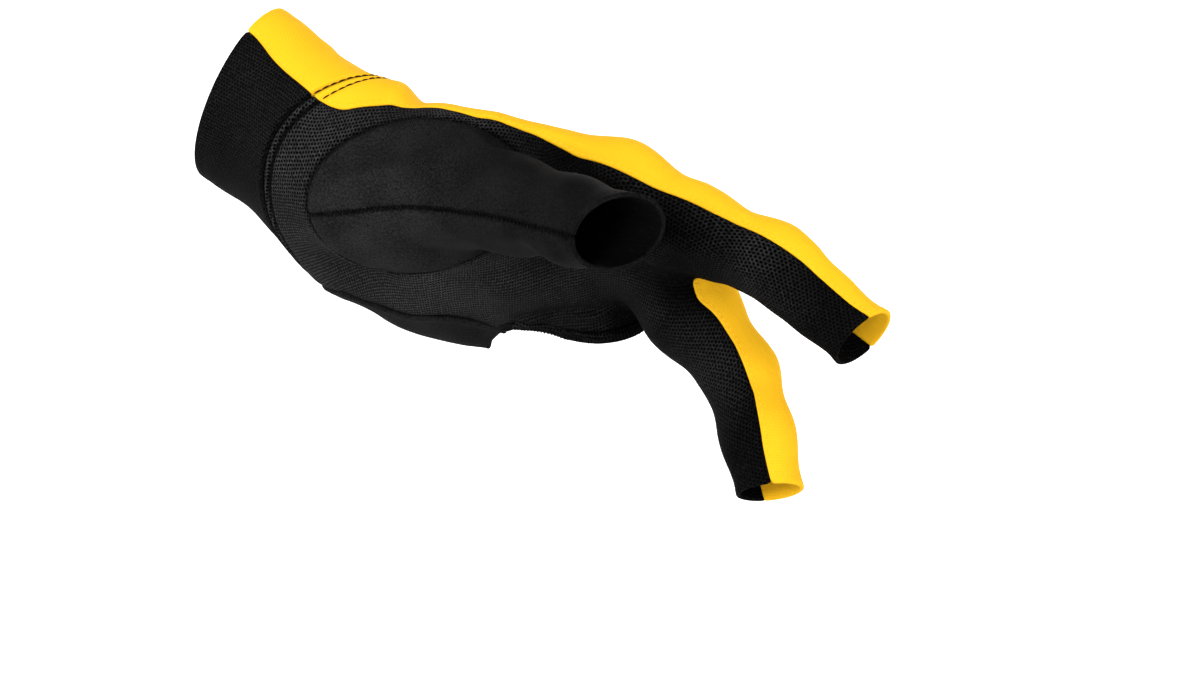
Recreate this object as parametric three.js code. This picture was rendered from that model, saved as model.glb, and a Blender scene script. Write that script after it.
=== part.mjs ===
// Three-finger cue glove for a left hand, in the shape it has when worn.
// The fingers point to +X and down, the back of the hand faces up and away, +Z is up, and the
// thumb side is at -Y. The origin is the centre of the wrist opening. Millimetres.
//
// The glove is a thin shell round a hand form. The form is a blend of tapered bones, wrapped in
// a surface. Seam fields cut that surface into panels, and each panel is given its thickness
// inwards, so the wrist, palm, thumb and fingers stay open.

import * as THREE from 'three';

// Driving dimensions
const KNIT_THICKNESS = 1.2;
const HEM_THICKNESS = 1.6;
const HEM_WIDTH = 3;
const THINNEST = 1;
const SEAM_GAP = 0.3;
const RIM_SLANT = 0.15;
const GRID = 5.2;
const RELAX_ROUNDS = 6;
const SNAP_REACH = 1.7;
const SNAP_APART = 1.4;
const ON_SEAM = 0.2;

// Direction from the thumb side to the little-finger side, for each limb
const ACROSS = {
  arm: [-0.22, 0.65, -0.73],
  hand: [-0.22, 0.76, -0.61],
  little: [-0.3, 0.9, -0.2],
  ring: [-0.3, 0.9, -0.2],
  index: [0.1, 0.95, -0.3],
  middle: [-0.35, 0.9, -0.2],
  thumb: [-0.2, -0.45, -0.87],
};

// Sections of the hand form: the middle of each, its half width and its half thickness
const SECTIONS = {
  forearm: { at: [-36, 15, 25], wide: 28, thick: 20 },
  edge: { at: [2.6, 0, -0.8], wide: 26, thick: 19.3 },
  wrist: { at: [26.6, -9, -19.9], wide: 28.1, thick: 20.1 },
  palm_low: { at: [38.5, -14, -21.2], wide: 26.7, thick: 14.2 },
  palm_mid: { at: [55.2, -18, -34.6], wide: 39.4, thick: 15 },
  palm_high: { at: [76.9, -21, -40.1], wide: 37.5, thick: 13 },
  knuckles: { at: [92.3, -24, -40.3], wide: 35.4, thick: 11.9 },
  heel: { at: [31.9, 2, -43.1], wide: 12.8, thick: 12.8 },
  hand_edge: { at: [63.7, 8, -53.9], wide: 10.3, thick: 10.3 },
  little_knuckle: { at: [88, 6, -55.8], wide: 10.5, thick: 10.5 },
  little_finger: { at: [79.4, 6, -84.3], wide: 9.2, thick: 9.2 },
  ring_knuckle: { at: [101, -8, -50], wide: 11.5, thick: 11.5 },
  ring_finger: { at: [104, -6, -86], wide: 10, thick: 10 },
  index_root: { at: [50, -30, -21], wide: 8.7, thick: 8.7 },
  index_knuckle: { at: [104.3, -42, -27.1], wide: 12, thick: 12 },
  index_first: { at: [123.1, -48.5, -38.8], wide: 11.8, thick: 11.8 },
  index_joint: { at: [144.5, -55, -46.5], wide: 9.1, thick: 9.1 },
  index_end: { at: [172.7, -64, -71.3], wide: 8.8, thick: 8.8 },
  index_tip: { at: [178, -70, -76.5], wide: 8, thick: 8 },
  middle_root: { at: [50, -18, -24], wide: 11, thick: 11 },
  middle_knuckle: { at: [110.5, -26, -39.4], wide: 13, thick: 13 },
  middle_first: { at: [123.5, -29, -59.2], wide: 12.1, thick: 12.1 },
  middle_joint: { at: [136.7, -32, -76.5], wide: 9.2, thick: 9.2 },
  middle_second: { at: [141.1, -37, -92.7], wide: 8.8, thick: 8.8 },
  middle_tip: { at: [148.3, -44, -125.9], wide: 9.4, thick: 9.4 },
  thumb_root: { at: [34, -26, -26], wide: 18, thick: 16 },
  thumb_knuckle: { at: [65.7, -50, -27.7], wide: 13.3, thick: 11.9 },
  thumb_first: { at: [77.7, -65, -33.3], wide: 11.3, thick: 10.4 },
  thumb_joint: { at: [91.7, -78, -36.6], wide: 9.9, thick: 9.5 },
  thumb_tip: { at: [108.2, -101, -41.9], wide: 11.3, thick: 10.8 },
};

// The bones of the hand form, each between two sections
const BONES = [
  { limb: 'arm', from: 'forearm', to: 'edge' },
  { limb: 'arm', from: 'edge', to: 'wrist' },
  { limb: 'hand', from: 'wrist', to: 'palm_low' },
  { limb: 'hand', from: 'palm_low', to: 'palm_mid' },
  { limb: 'hand', from: 'palm_mid', to: 'palm_high' },
  { limb: 'hand', from: 'palm_high', to: 'knuckles' },
  { limb: 'hand', from: 'index_root', to: 'index_knuckle' },
  { limb: 'hand', from: 'middle_root', to: 'middle_knuckle' },
  { limb: 'hand', from: 'heel', to: 'hand_edge' },
  { limb: 'hand', from: 'hand_edge', to: 'little_knuckle' },
  { limb: 'little', from: 'little_knuckle', to: 'little_finger' },
  { limb: 'ring', from: 'ring_knuckle', to: 'ring_finger' },
  { limb: 'index', from: 'index_knuckle', to: 'index_first' },
  { limb: 'index', from: 'index_first', to: 'index_joint' },
  { limb: 'index', from: 'index_joint', to: 'index_end' },
  { limb: 'index', from: 'index_end', to: 'index_tip' },
  { limb: 'middle', from: 'middle_knuckle', to: 'middle_first' },
  { limb: 'middle', from: 'middle_first', to: 'middle_joint' },
  { limb: 'middle', from: 'middle_joint', to: 'middle_second' },
  { limb: 'middle', from: 'middle_second', to: 'middle_tip' },
  { limb: 'thumb', from: 'thumb_root', to: 'thumb_knuckle' },
  { limb: 'thumb', from: 'thumb_knuckle', to: 'thumb_first' },
  { limb: 'thumb', from: 'thumb_first', to: 'thumb_joint' },
  { limb: 'thumb', from: 'thumb_joint', to: 'thumb_tip' },
];

// How softly each limb flows into the rest
const BLEND = { arm: 10, hand: 12, little: 8, ring: 13, index: 7, middle: 7, thumb: 9 };

// Folds of the cloth: a line on the skin, how far it rises (a crease has a negative rise), its reach
const FOLDS = [
  { name: 'wrist roll', from: [45, -37, -3], to: [51, -22, 1], rise: 0.9, reach: 4 },
  { name: 'crease behind the roll', from: [53, -38, -4], to: [58, -25, -2], rise: -0.7, reach: 3.5 },
  { name: 'pull across the palm', from: [101, -22, -57], to: [72, -26, -50], rise: 0.8, reach: 5 },
  { name: 'crease under the pull', from: [108, -20, -62], to: [80, -16, -59], rise: -0.9, reach: 4 },
  { name: 'crease below the thumb', from: [58, -30, -50], to: [84, -38, -46], rise: -0.8, reach: 4.5 },
  { name: 'middle finger joint', from: [131, -42, -76], to: [141, -43, -78], rise: -0.6, reach: 3 },
  { name: 'index finger joint', from: [129, -60, -47], to: [136, -61, -38], rise: -0.6, reach: 3 },
  { name: 'thumb joint', from: [86, -88, -29], to: [88, -88, -45], rise: -0.6, reach: 3 },
];

const clamp01 = (t) => Math.min(1, Math.max(0, t));
const mix = (a, b, t) => a + (b - a) * t;
const vector = (list) => new THREE.Vector3(...list);

function blend(a, b, reach) {
  const share = Math.max(reach - Math.abs(a - b), 0) / reach;
  return Math.min(a, b) - share * share * reach * 0.25;
}

function taperedBone(limb, from, to) {
  const start = vector(from.at);
  const line = vector(to.at).sub(start);
  const length = line.length();
  const along = line.divideScalar(length);
  const across = vector(ACROSS[limb]).projectOnPlane(along).normalize();
  const back = across.clone().cross(along).normalize();
  return { limb, start, length, along, across, back, wide: [from.wide, to.wide], thick: [from.thick, to.thick] };
}

// Distance to one tapered bone of oval section, true near its skin
function boneDistance(bone, p) {
  const q = p.clone().sub(bone.start);
  const run = q.dot(bone.along);
  const t = clamp01(run / bone.length);
  const wide = mix(bone.wide[0], bone.wide[1], t);
  const thick = mix(bone.thick[0], bone.thick[1], t);
  const a = q.dot(bone.across) / wide;
  const b = q.dot(bone.back) / thick;
  const c = (run - t * bone.length) / thick;
  const reach = Math.hypot(a, b, c);
  const slope = Math.hypot(a / wide, b / thick, c / thick);
  return slope < 1e-9 ? -thick : (reach * (reach - 1)) / slope;
}

const bones = BONES.map((row) => taperedBone(row.limb, SECTIONS[row.from], SECTIONS[row.to]));

function limbDistance(limb, p) {
  return bones
    .filter((bone) => bone.limb === limb)
    .reduce((nearest, bone) => blend(nearest, boneDistance(bone, p), BLEND[limb]), 1e3);
}

function foldRise(fold, p) {
  const nearest = new THREE.Vector3();
  fold.line.closestPointToPoint(p, true, nearest);
  const away = nearest.distanceTo(p) / fold.reach;
  return fold.rise * Math.exp(-away * away);
}

const folds = FOLDS.map((row) => ({ ...row, line: new THREE.Line3(vector(row.from), vector(row.to)) }));

// Distance to the whole hand form, folds and all
function formDistance(p) {
  const smooth = bones.reduce((near, bone) => blend(near, boneDistance(bone, p), BLEND[bone.limb]), 1e3);
  return folds.reduce((distance, fold) => distance - foldRise(fold, p), smooth);
}

function slopeOf(field, p) {
  const step = 0.05;
  const slope = new THREE.Vector3();
  for (const axis of ['x', 'y', 'z']) {
    const ahead = p.clone();
    const behind = p.clone();
    ahead[axis] += step;
    behind[axis] -= step;
    slope[axis] = (field(ahead) - field(behind)) / (2 * step);
  }
  return slope;
}

const normalAt = (p) => slopeOf(formDistance, p).normalize();

// Moves a point onto the form, and onto the given seams of the form
function settle(p, seams, rounds) {
  for (let round = 0; round < rounds; round += 1) {
    for (const seam of seams) {
      const normal = normalAt(p);
      const slope = slopeOf(seam, p).projectOnPlane(normal);
      const steep = slope.lengthSq();
      if (steep > 1e-3) p.addScaledVector(slope, -seam(p) / steep);
    }
    const slope = slopeOf(formDistance, p);
    p.addScaledVector(slope, -formDistance(p) / slope.lengthSq());
  }
  return p;
}

// Smooth curve through table rows: the value of one column at a position along another
function rowValue(rows, key, value, at) {
  const last = rows.length - 1;
  const rising = rows[last][key] > rows[0][key];
  let i = rows.findIndex((row) => (rising ? row[key] > at : row[key] < at)) - 1;
  if (i === -2) i = last;
  if (i < 0) return rows[0][value];
  if (i >= last) return rows[last][value];
  const t = (at - rows[i][key]) / (rows[i + 1][key] - rows[i][key]);
  return mix(rows[i][value], rows[i + 1][value], t);
}

// Seam fields. Each is a signed distance, and its seam is where it is zero.

const plane = (point, normal) => {
  const centre = vector(point);
  const facing = vector(normal).normalize();
  return (p) => p.clone().sub(centre).dot(facing);
};

// A plane that bows towards the hand, away from its middle
const bowedPlane = (point, normal, along, bow) => {
  const flat = plane(point, normal);
  const run = plane(point, along);
  return (p) => flat(p) - bow * run(p) ** 2;
};

const handSideOfWristEdge = plane([-7.9, -13, -4.1], [0.831, -0.227, -0.508]);
const handSideOfCuffSeam = bowedPlane([14.9, -23.5, -12.4], [0.65, -0.467, -0.6], [0.52, -0.31, 0.8], 0.0075);

// Where the back panel meets the palm panel on the thumb side, along the hand and index finger
const BACK_SEAM = [
  { x: -20, y: -10, z: 52, lean: 1.1 },
  { x: -8, y: -17, z: 32, lean: 1.1 },
  { x: 2.7, y: -21, z: 16.8, lean: 1.1 },
  { x: 5.2, y: -22, z: 14.4, lean: 1.1 },
  { x: 9.7, y: -25, z: 9.3, lean: 1.1 },
  { x: 16.3, y: -29, z: 3.4, lean: 1.1 },
  { x: 22.3, y: -33, z: -2, lean: 1.05 },
  { x: 26.1, y: -35, z: -4.2, lean: 1.05 },
  { x: 29.6, y: -36.5, z: -5.4, lean: 1 },
  { x: 31.4, y: -37, z: -5.1, lean: 1 },
  { x: 35.5, y: -37.7, z: -4.4, lean: 1 },
  { x: 42.7, y: -37.7, z: -4.1, lean: 0.9 },
  { x: 50.5, y: -40.2, z: -4.8, lean: 0.9 },
  { x: 58.5, y: -46.4, z: -6.3, lean: 0.85 },
  { x: 67.1, y: -49.9, z: -8, lean: 0.8 },
  { x: 72.3, y: -50.7, z: -9.4, lean: 0.8 },
  { x: 81.7, y: -51.7, z: -13.1, lean: 0.75 },
  { x: 88.3, y: -53, z: -16.2, lean: 0.7 },
  { x: 102, y: -54.8, z: -21.7, lean: 0.6 },
  { x: 114.6, y: -56.3, z: -27.8, lean: 0.5 },
  { x: 128.2, y: -60.4, z: -33.8, lean: 0.4 },
  { x: 136.7, y: -60.8, z: -37.5, lean: 0.4 },
  { x: 145, y: -64.9, z: -42.2, lean: 0.4 },
  { x: 152.3, y: -65.1, z: -47.3, lean: 0.4 },
  { x: 159, y: -66.8, z: -53.6, lean: 0.4 },
  { x: 163.4, y: -68.2, z: -57.5, lean: 0.4 },
  { x: 172, y: -70, z: -63.5, lean: 0.4 },
];

// The same seam on the thumb side of the middle finger, from the crotch to its open end
const MIDDLE_SEAM = [
  { z: -42, y: -44, x: 114 },
  { z: -50.2, y: -44, x: 123.2 },
  { z: -53.8, y: -42.3, x: 126.7 },
  { z: -61.2, y: -41.2, x: 130.6 },
  { z: -68.3, y: -41, x: 134.9 },
  { z: -75, y: -42.7, x: 137.7 },
  { z: -81.2, y: -43.5, x: 140 },
  { z: -88.2, y: -46.6, x: 141.1 },
  { z: -95.8, y: -47.8, x: 142.2 },
  { z: -105, y: -48.7, x: 144.3 },
  { z: -120, y: -51, x: 147.7 },
];
const MIDDLE_LEAN = 0.15;
const CROTCH = { at: [123, -44, -49], reach: 8, lift: 8 };

function backOfHand(p) {
  const z = rowValue(BACK_SEAM, 'x', 'z', p.x);
  const y = rowValue(BACK_SEAM, 'x', 'y', p.x);
  const lean = rowValue(BACK_SEAM, 'x', 'lean', p.x);
  return (p.z - z + lean * (p.y - y)) / Math.hypot(1, lean);
}

function backOfMiddle(p) {
  const x = rowValue(MIDDLE_SEAM, 'z', 'x', p.z);
  const y = rowValue(MIDDLE_SEAM, 'z', 'y', p.z);
  return (p.x - x + MIDDLE_LEAN * (p.y - y)) / Math.hypot(1, MIDDLE_LEAN);
}

function back(p) {
  const others = Math.min(limbDistance('index', p), limbDistance('hand', p));
  const share = clamp01(0.5 + (others - limbDistance('middle', p)) / 10);
  const near = p.distanceTo(vector(CROTCH.at)) / CROTCH.reach;
  return mix(backOfHand(p), backOfMiddle(p), share) + CROTCH.lift * Math.exp(-near * near);
}

// The thumb piece: an oval patch over the ball of the thumb, then the whole thumb
const THUMB_OVAL = { x: 51.2, z: -28.9, long: 31.5, tall: 20.6, tilt: 0.1, depth: -22 };
const THUMB_SLEEVE = [
  taperedBone('thumb', { at: [62, -52, -27], wide: 18, thick: 18 }, { at: [91, -79, -36], wide: 15, thick: 15 }),
  taperedBone('thumb', { at: [91, -79, -36], wide: 15, thick: 15 }, { at: [112, -106, -44], wide: 15, thick: 15 }),
];

function outsideThumbPiece(p) {
  const cos = Math.cos(THUMB_OVAL.tilt);
  const sin = Math.sin(THUMB_OVAL.tilt);
  const dx = p.x - THUMB_OVAL.x;
  const dz = p.z - THUMB_OVAL.z;
  const a = (dx * cos + dz * sin) / THUMB_OVAL.long;
  const b = (-dx * sin + dz * cos) / THUMB_OVAL.tall;
  const reach = Math.hypot(a, b);
  const slope = Math.hypot(a / THUMB_OVAL.long, b / THUMB_OVAL.tall);
  const oval = slope < 1e-9 ? -THUMB_OVAL.tall : (reach * (reach - 1)) / slope;
  const patch = Math.max(oval, p.y - THUMB_OVAL.depth);
  const sleeve = Math.min(...THUMB_SLEEVE.map((bone) => boneDistance(bone, p)));
  return blend(patch, sleeve, 6);
}

// The seam that runs along the middle of the thumb piece
const THUMB_SEAM = [
  { x: 15, z: -34 },
  { x: 26.9, z: -33.7 },
  { x: 34, z: -33.1 },
  { x: 39.7, z: -32.6 },
  { x: 48.2, z: -32.4 },
  { x: 58.6, z: -33.4 },
  { x: 69, z: -35.1 },
  { x: 75.7, z: -36.6 },
  { x: 82.3, z: -38.5 },
  { x: 90.8, z: -40.9 },
  { x: 110, z: -46 },
];
const aboveThumbSeam = (p) => p.z - rowValue(THUMB_SEAM, 'x', 'z', p.x);

// The strip along the little-finger edge of the hand
const EDGE_STRIP = [
  { x: 0, y: 2, z: -60 },
  { x: 20, y: 1, z: -56 },
  { x: 22.1, y: 0, z: -53.2 },
  { x: 27.9, y: -4, z: -54.4 },
  { x: 33.4, y: -4, z: -57.1 },
  { x: 38.5, y: -6, z: -58.6 },
  { x: 45.7, y: -8, z: -61.1 },
  { x: 56.4, y: -10, z: -61.5 },
  { x: 66.9, y: -10, z: -63.5 },
  { x: 72.6, y: -11, z: -64.5 },
  { x: 90, y: -12, z: -68 },
];
const STRIP_LEAN = 0.75;
const STRIP_END = 98;

function outsideStrip(p) {
  const z = rowValue(EDGE_STRIP, 'x', 'z', p.x);
  const y = rowValue(EDGE_STRIP, 'x', 'y', p.x);
  const above = (p.z - z - STRIP_LEAN * (p.y - y)) / Math.hypot(1, STRIP_LEAN);
  return Math.max(above, p.x - STRIP_END);
}

// The edge of the side opening, through which the ring and little fingers come out
const SIDE_OPENING = [
  { x: 61, y: 6, z: -84 },
  { x: 69, y: 2, z: -72 },
  { x: 69.6, y: -3, z: -68 },
  { x: 71.5, y: -9, z: -65.5 },
  { x: 75.2, y: -13, z: -64.3 },
  { x: 80.1, y: -13, z: -65.2 },
  { x: 89.1, y: -11, z: -66.7 },
  { x: 98, y: -17, z: -68.4 },
  { x: 104.6, y: -19, z: -68.2 },
  { x: 109.9, y: -19, z: -67.1 },
  { x: 114.9, y: -21, z: -66.4 },
  { x: 120, y: -22, z: -68 },
];
const OPENING_LEAN = 0.45;
const OPENING_CLEARANCE = 1.5;

function outsideSideOpening(p) {
  const z = rowValue(SIDE_OPENING, 'x', 'z', p.x);
  const y = rowValue(SIDE_OPENING, 'x', 'y', p.x);
  const above = (p.z - z - OPENING_LEAN * (p.y - y)) / Math.hypot(1, OPENING_LEAN);
  const others = Math.min(limbDistance('ring', p), limbDistance('little', p));
  const besideMiddle = (limbDistance('middle', p) - others) / 2 - OPENING_CLEARANCE;
  return -blend(-above, besideMiddle, 7);
}

// The open ends of the thumb and the two fingers: a plane, and how far round it counts
const ENDS = {
  thumb: { centre: [96.5, -94.2, -42.8], facing: [0.15, -0.87, -0.47], reach: 27 },
  index: { centre: [165.5, -65, -67.2], facing: [0.636, -0.39, -0.665], reach: 22 },
  middle: { centre: [143.6, -41, -107.9], facing: [0.103, -0.3, -0.948], reach: 27 },
};
const insideEnd = ({ centre, facing, reach }) => {
  const beyond = plane(centre, facing);
  const middle = vector(centre);
  return (p) => Math.max(-beyond(p), p.distanceTo(middle) - reach);
};
const beforeThumbEnd = insideEnd(ENDS.thumb);
const beforeIndexEnd = insideEnd(ENDS.index);
const beforeMiddleEnd = insideEnd(ENDS.middle);

// The surface round the form: one point in each grid cell that the form's skin crosses
const points = [];

function wrapForm() {
  const bounds = new THREE.Box3();
  for (const section of Object.values(SECTIONS)) {
    bounds.expandByPoint(vector(section.at).addScalar(section.wide + 2 * GRID));
    bounds.expandByPoint(vector(section.at).addScalar(-section.wide - 2 * GRID));
  }
  const size = bounds.getSize(new THREE.Vector3());
  const count = [size.x, size.y, size.z].map((length) => Math.ceil(length / GRID) + 1);
  const stride = [1, count[0], count[0] * count[1]];
  const place = (i, j, k) => new THREE.Vector3(i, j, k).multiplyScalar(GRID).add(bounds.min);
  const value = new Float32Array(count[0] * count[1] * count[2]);
  for (let k = 0; k < count[2]; k += 1) {
    for (let j = 0; j < count[1]; j += 1) {
      for (let i = 0; i < count[0]; i += 1) {
        value[i + j * stride[1] + k * stride[2]] = formDistance(place(i, j, k));
      }
    }
  }
  const corners = [0, 1, 2, 3, 4, 5, 6, 7].map((n) => [n & 1, (n >> 1) & 1, n >> 2]);
  const pointOfCell = new Map();
  const faces = [];
  for (let k = 0; k < count[2] - 1; k += 1) {
    for (let j = 0; j < count[1] - 1; j += 1) {
      for (let i = 0; i < count[0] - 1; i += 1) {
        const cell = i + j * stride[1] + k * stride[2];
        const inside = corners.map(([a, b, c]) => value[cell + a + b * stride[1] + c * stride[2]] < 0);
        if (inside.every((flag) => flag === inside[0])) continue;
        pointOfCell.set(cell, points.length);
        points.push(settle(place(i + 0.5, j + 0.5, k + 0.5), [], 5));
      }
    }
  }
  for (const cell of pointOfCell.keys()) {
    for (let axis = 0; axis < 3; axis += 1) {
      const u = stride[(axis + 1) % 3];
      const v = stride[(axis + 2) % 3];
      const here = value[cell] < 0;
      if (here === value[cell + stride[axis]] < 0) continue;
      const ring = [cell - u - v, cell - v, cell, cell - u].map((c) => pointOfCell.get(c));
      if (!here) ring.reverse();
      faces.push(...halves(ring));
    }
  }
  return faces;
}

// Two triangles from four corners, across the shorter diagonal
function halves([a, b, c, d]) {
  const short = points[a].distanceToSquared(points[c]) < points[b].distanceToSquared(points[d]);
  return short ? [[a, b, c], [a, c, d]] : [[a, b, d], [b, c, d]];
}

// Evens out the points along the skin
function relax(faces) {
  const neighbours = points.map(() => new Set());
  for (const face of faces) {
    face.forEach((a, n) => {
      neighbours[a].add(face[(n + 1) % 3]);
      neighbours[face[(n + 1) % 3]].add(a);
    });
  }
  for (let round = 0; round < RELAX_ROUNDS; round += 1) {
    const moved = points.map((p, a) => {
      const middle = new THREE.Vector3();
      for (const b of neighbours[a]) middle.add(points[b]);
      return middle.divideScalar(neighbours[a].size).lerp(p, 0.4);
    });
    moved.forEach((p, a) => points[a].copy(settle(p, [], 2)));
  }
}

// Moves points that lie beside a seam onto it, so that the cut leaves no thin slivers.
// The nearest points go first, and no two of them come to lie at one place.
function snapToSeams(seams) {
  const nearby = [];
  for (const p of points) {
    const close = seams.map((seam) => ({ seam, away: Math.abs(seam(p)) })).filter((row) => row.away < SNAP_REACH);
    close.sort((a, b) => a.away - b.away);
    if (close.length) nearby.push({ p, close: close.map((row) => row.seam), away: close.at(-1).away });
  }
  nearby.sort((a, b) => b.close.length - a.close.length || a.away - b.away);
  const taken = [];
  for (const { p, close } of nearby) {
    for (const chosen of [close, close.slice(0, 1)]) {
      const moved = settle(p.clone(), chosen, 8);
      const free = taken.every((q) => q.distanceTo(moved) > SNAP_APART);
      if (!free || moved.distanceTo(p) > 1.6 * SNAP_REACH) continue;
      p.copy(moved);
      taken.push(p);
      break;
    }
  }
}

// Cuts faces along a seam, and returns those where the field is positive, then the others
function cut(faces, seam) {
  const made = new Map();
  const value = new Map();
  const side = (a) => {
    if (!value.has(a)) value.set(a, seam(points[a]));
    return Math.abs(value.get(a)) < ON_SEAM ? 0 : Math.sign(value.get(a));
  };
  const crossing = (a, b) => {
    const key = a < b ? `${a} ${b}` : `${b} ${a}`;
    if (!made.has(key)) {
      const t = value.get(a) / (value.get(a) - value.get(b));
      made.set(key, points.length);
      value.set(points.length, 0);
      points.push(settle(points[a].clone().lerp(points[b], t), [seam], 4));
    }
    return made.get(key);
  };
  const positive = [];
  const negative = [];
  for (const face of faces) {
    const sides = face.map(side);
    if (!sides.includes(-1)) positive.push(face);
    else if (!sides.includes(1)) negative.push(face);
    else {
      for (const [list, sign] of [[positive, 1], [negative, -1]]) {
        const ring = [];
        face.forEach((a, n) => {
          const b = face[(n + 1) % 3];
          if (sides[n] !== -sign) ring.push(a);
          if (sides[n] * sides[(n + 1) % 3] < 0) ring.push(crossing(a, b));
        });
        list.push(...(ring.length === 4 ? halves(ring) : [ring]));
      }
    }
  }
  return [positive, negative];
}

// Gives each fan of faces a point of its own, so that no two parts of a panel meet at one corner
function splitCorners(faces) {
  const around = new Map();
  faces.forEach((face, n) => {
    for (const a of face) around.set(a, [...(around.get(a) ?? []), n]);
  });
  const parted = faces.map((face) => [...face]);
  for (const [a, list] of around) {
    const left = new Set(list.slice(1));
    let fan = [list[0]];
    for (;;) {
      for (const n of fan) {
        for (const m of [...left]) {
          if (!faces[n].some((b) => b !== a && faces[m].includes(b))) continue;
          fan.push(m);
          left.delete(m);
        }
      }
      if (!left.size) break;
      fan = [left.values().next().value];
      left.delete(fan[0]);
      points.push(points[a].clone());
      const copy = points.length - 1;
      for (const n of [...fan, ...left]) parted[n][faces[n].indexOf(a)] = copy;
    }
  }
  return parted;
}

// The largest connected set of faces
function mainPiece(faces) {
  const owner = new Map();
  const find = (a) => {
    while (owner.get(a) !== undefined && owner.get(a) !== a) a = owner.get(a);
    return a;
  };
  for (const [a, b, c] of faces) {
    const root = find(a);
    owner.set(root, root);
    for (const other of [b, c]) owner.set(find(other), root);
  }
  const sets = new Map();
  for (const face of faces) {
    const root = find(face[0]);
    if (!sets.has(root)) sets.set(root, []);
    sets.get(root).push(face);
  }
  return [...sets.values()].sort((a, b) => b.length - a.length)[0];
}

// A closed solid from a panel's faces: the outer skin, an inner skin, and a rim that joins them
function thicken(allFaces, thickness) {
  const faces = mainPiece(splitCorners(allFaces));
  const edges = new Map();
  for (const face of faces) {
    face.forEach((a, n) => edges.set(`${a} ${face[(n + 1) % 3]}`, [a, face[(n + 1) % 3]]));
  }
  const rim = [...edges.values()].filter(([a, b]) => !edges.has(`${b} ${a}`));
  const inward = new Map();
  for (const [a, b] of rim) {
    const along = points[b].clone().sub(points[a]);
    const side = normalAt(points[a]).cross(along).normalize();
    for (const end of [a, b]) {
      if (!inward.has(end)) inward.set(end, new THREE.Vector3());
      inward.get(end).add(side);
    }
  }
  const slot = new Map();
  const position = [];
  for (const a of new Set(faces.flat())) {
    const outer = points[a].clone();
    const normal = normalAt(outer);
    const depth = -formDistance(outer.clone().addScaledVector(normal, -thickness));
    const wall = Math.max(THINNEST, Math.min(thickness, depth));
    const inner = outer.clone().addScaledVector(normal, -wall);
    if (inward.has(a)) {
      const side = inward.get(a).normalize();
      outer.addScaledVector(side, SEAM_GAP / 2);
      inner.addScaledVector(side, SEAM_GAP / 2 + RIM_SLANT);
    }
    slot.set(a, slot.size);
    position.push(...outer.toArray(), ...inner.toArray());
  }
  const index = [];
  for (const [a, b, c] of faces.map((face) => face.map((n) => 2 * slot.get(n)))) {
    index.push(a, b, c, a + 1, c + 1, b + 1);
  }
  for (const [a, b] of rim.map((edge) => edge.map((n) => 2 * slot.get(n)))) {
    index.push(a, a + 1, b + 1, a, b + 1, b);
  }
  const geometry = new THREE.BufferGeometry();
  geometry.setAttribute('position', new THREE.Float32BufferAttribute(position, 3));
  geometry.setIndex(index);
  geometry.computeVertexNormals();
  return geometry;
}

// The finishes
const blackMesh = { color: 0x1a1a1a, roughness: 0.85, metalness: 0 };
const blackSmooth = { color: 0x202020, roughness: 0.7, metalness: 0 };
const yellowSmooth = { color: 0xffd21f, roughness: 0.75, metalness: 0 };

const glove = new THREE.Group();

function addPanel(name, faces, finish, thickness = KNIT_THICKNESS) {
  const mesh = new THREE.Mesh(thicken(faces, thickness), new THREE.MeshStandardMaterial(finish));
  mesh.name = name;
  glove.add(mesh);
}

const skin = wrapForm();
relax(skin);
snapToSeams([
  handSideOfWristEdge,
  handSideOfCuffSeam,
  back,
  outsideThumbPiece,
  outsideSideOpening,
  beforeThumbEnd,
  beforeIndexEnd,
  beforeMiddleEnd,
]);

let [worn] = cut(skin, handSideOfWristEdge);
[worn] = cut(worn, beforeThumbEnd);
[worn] = cut(worn, beforeIndexEnd);
[worn] = cut(worn, beforeMiddleEnd);
[worn] = cut(worn, outsideSideOpening);

const [handPart, cuff] = cut(worn, handSideOfCuffSeam);
const [cuffBack, cuffFront] = cut(cuff, back);
addPanel('cuff_front', cuffFront, blackMesh);
addPanel('cuff_back', cuffBack, yellowSmooth);

const [aroundThumb, thumbPiece] = cut(handPart, outsideThumbPiece);
const [thumbUpper, thumbLower] = cut(thumbPiece, aboveThumbSeam);
addPanel('thumb_upper', thumbUpper, blackSmooth);
addPanel('thumb_lower', thumbLower, blackSmooth);

const [belowHem, hem] = cut(aroundThumb, (p) => outsideSideOpening(p) - HEM_WIDTH);
addPanel('side_opening_hem', hem, blackMesh, HEM_THICKNESS);

const [mainHand, strip] = cut(belowHem, outsideStrip);
addPanel('edge_strip', strip, blackSmooth);

const [backPanel, palmPanel] = cut(mainHand, back);
addPanel('back_panel', backPanel, yellowSmooth);
addPanel('palm_panel', palmPanel, blackMesh);

export default glove;
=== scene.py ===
import math

import bpy
import numpy as np
from mathutils import Matrix, Vector
from mathutils.bvhtree import BVHTree
from mathutils.kdtree import KDTree


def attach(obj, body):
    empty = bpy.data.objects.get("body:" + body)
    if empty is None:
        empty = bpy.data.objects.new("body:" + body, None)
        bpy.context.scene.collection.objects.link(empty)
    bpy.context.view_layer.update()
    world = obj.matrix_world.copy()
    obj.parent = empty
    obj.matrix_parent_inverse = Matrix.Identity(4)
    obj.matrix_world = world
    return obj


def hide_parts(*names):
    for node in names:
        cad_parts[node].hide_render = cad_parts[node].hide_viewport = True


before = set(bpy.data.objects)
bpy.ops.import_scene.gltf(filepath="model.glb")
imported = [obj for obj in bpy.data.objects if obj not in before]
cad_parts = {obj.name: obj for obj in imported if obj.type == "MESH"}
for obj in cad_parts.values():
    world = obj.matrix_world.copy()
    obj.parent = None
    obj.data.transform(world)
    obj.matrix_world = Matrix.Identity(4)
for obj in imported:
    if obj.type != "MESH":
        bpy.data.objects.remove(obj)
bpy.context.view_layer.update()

bpy.ops.object.select_all(action="DESELECT")


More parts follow.
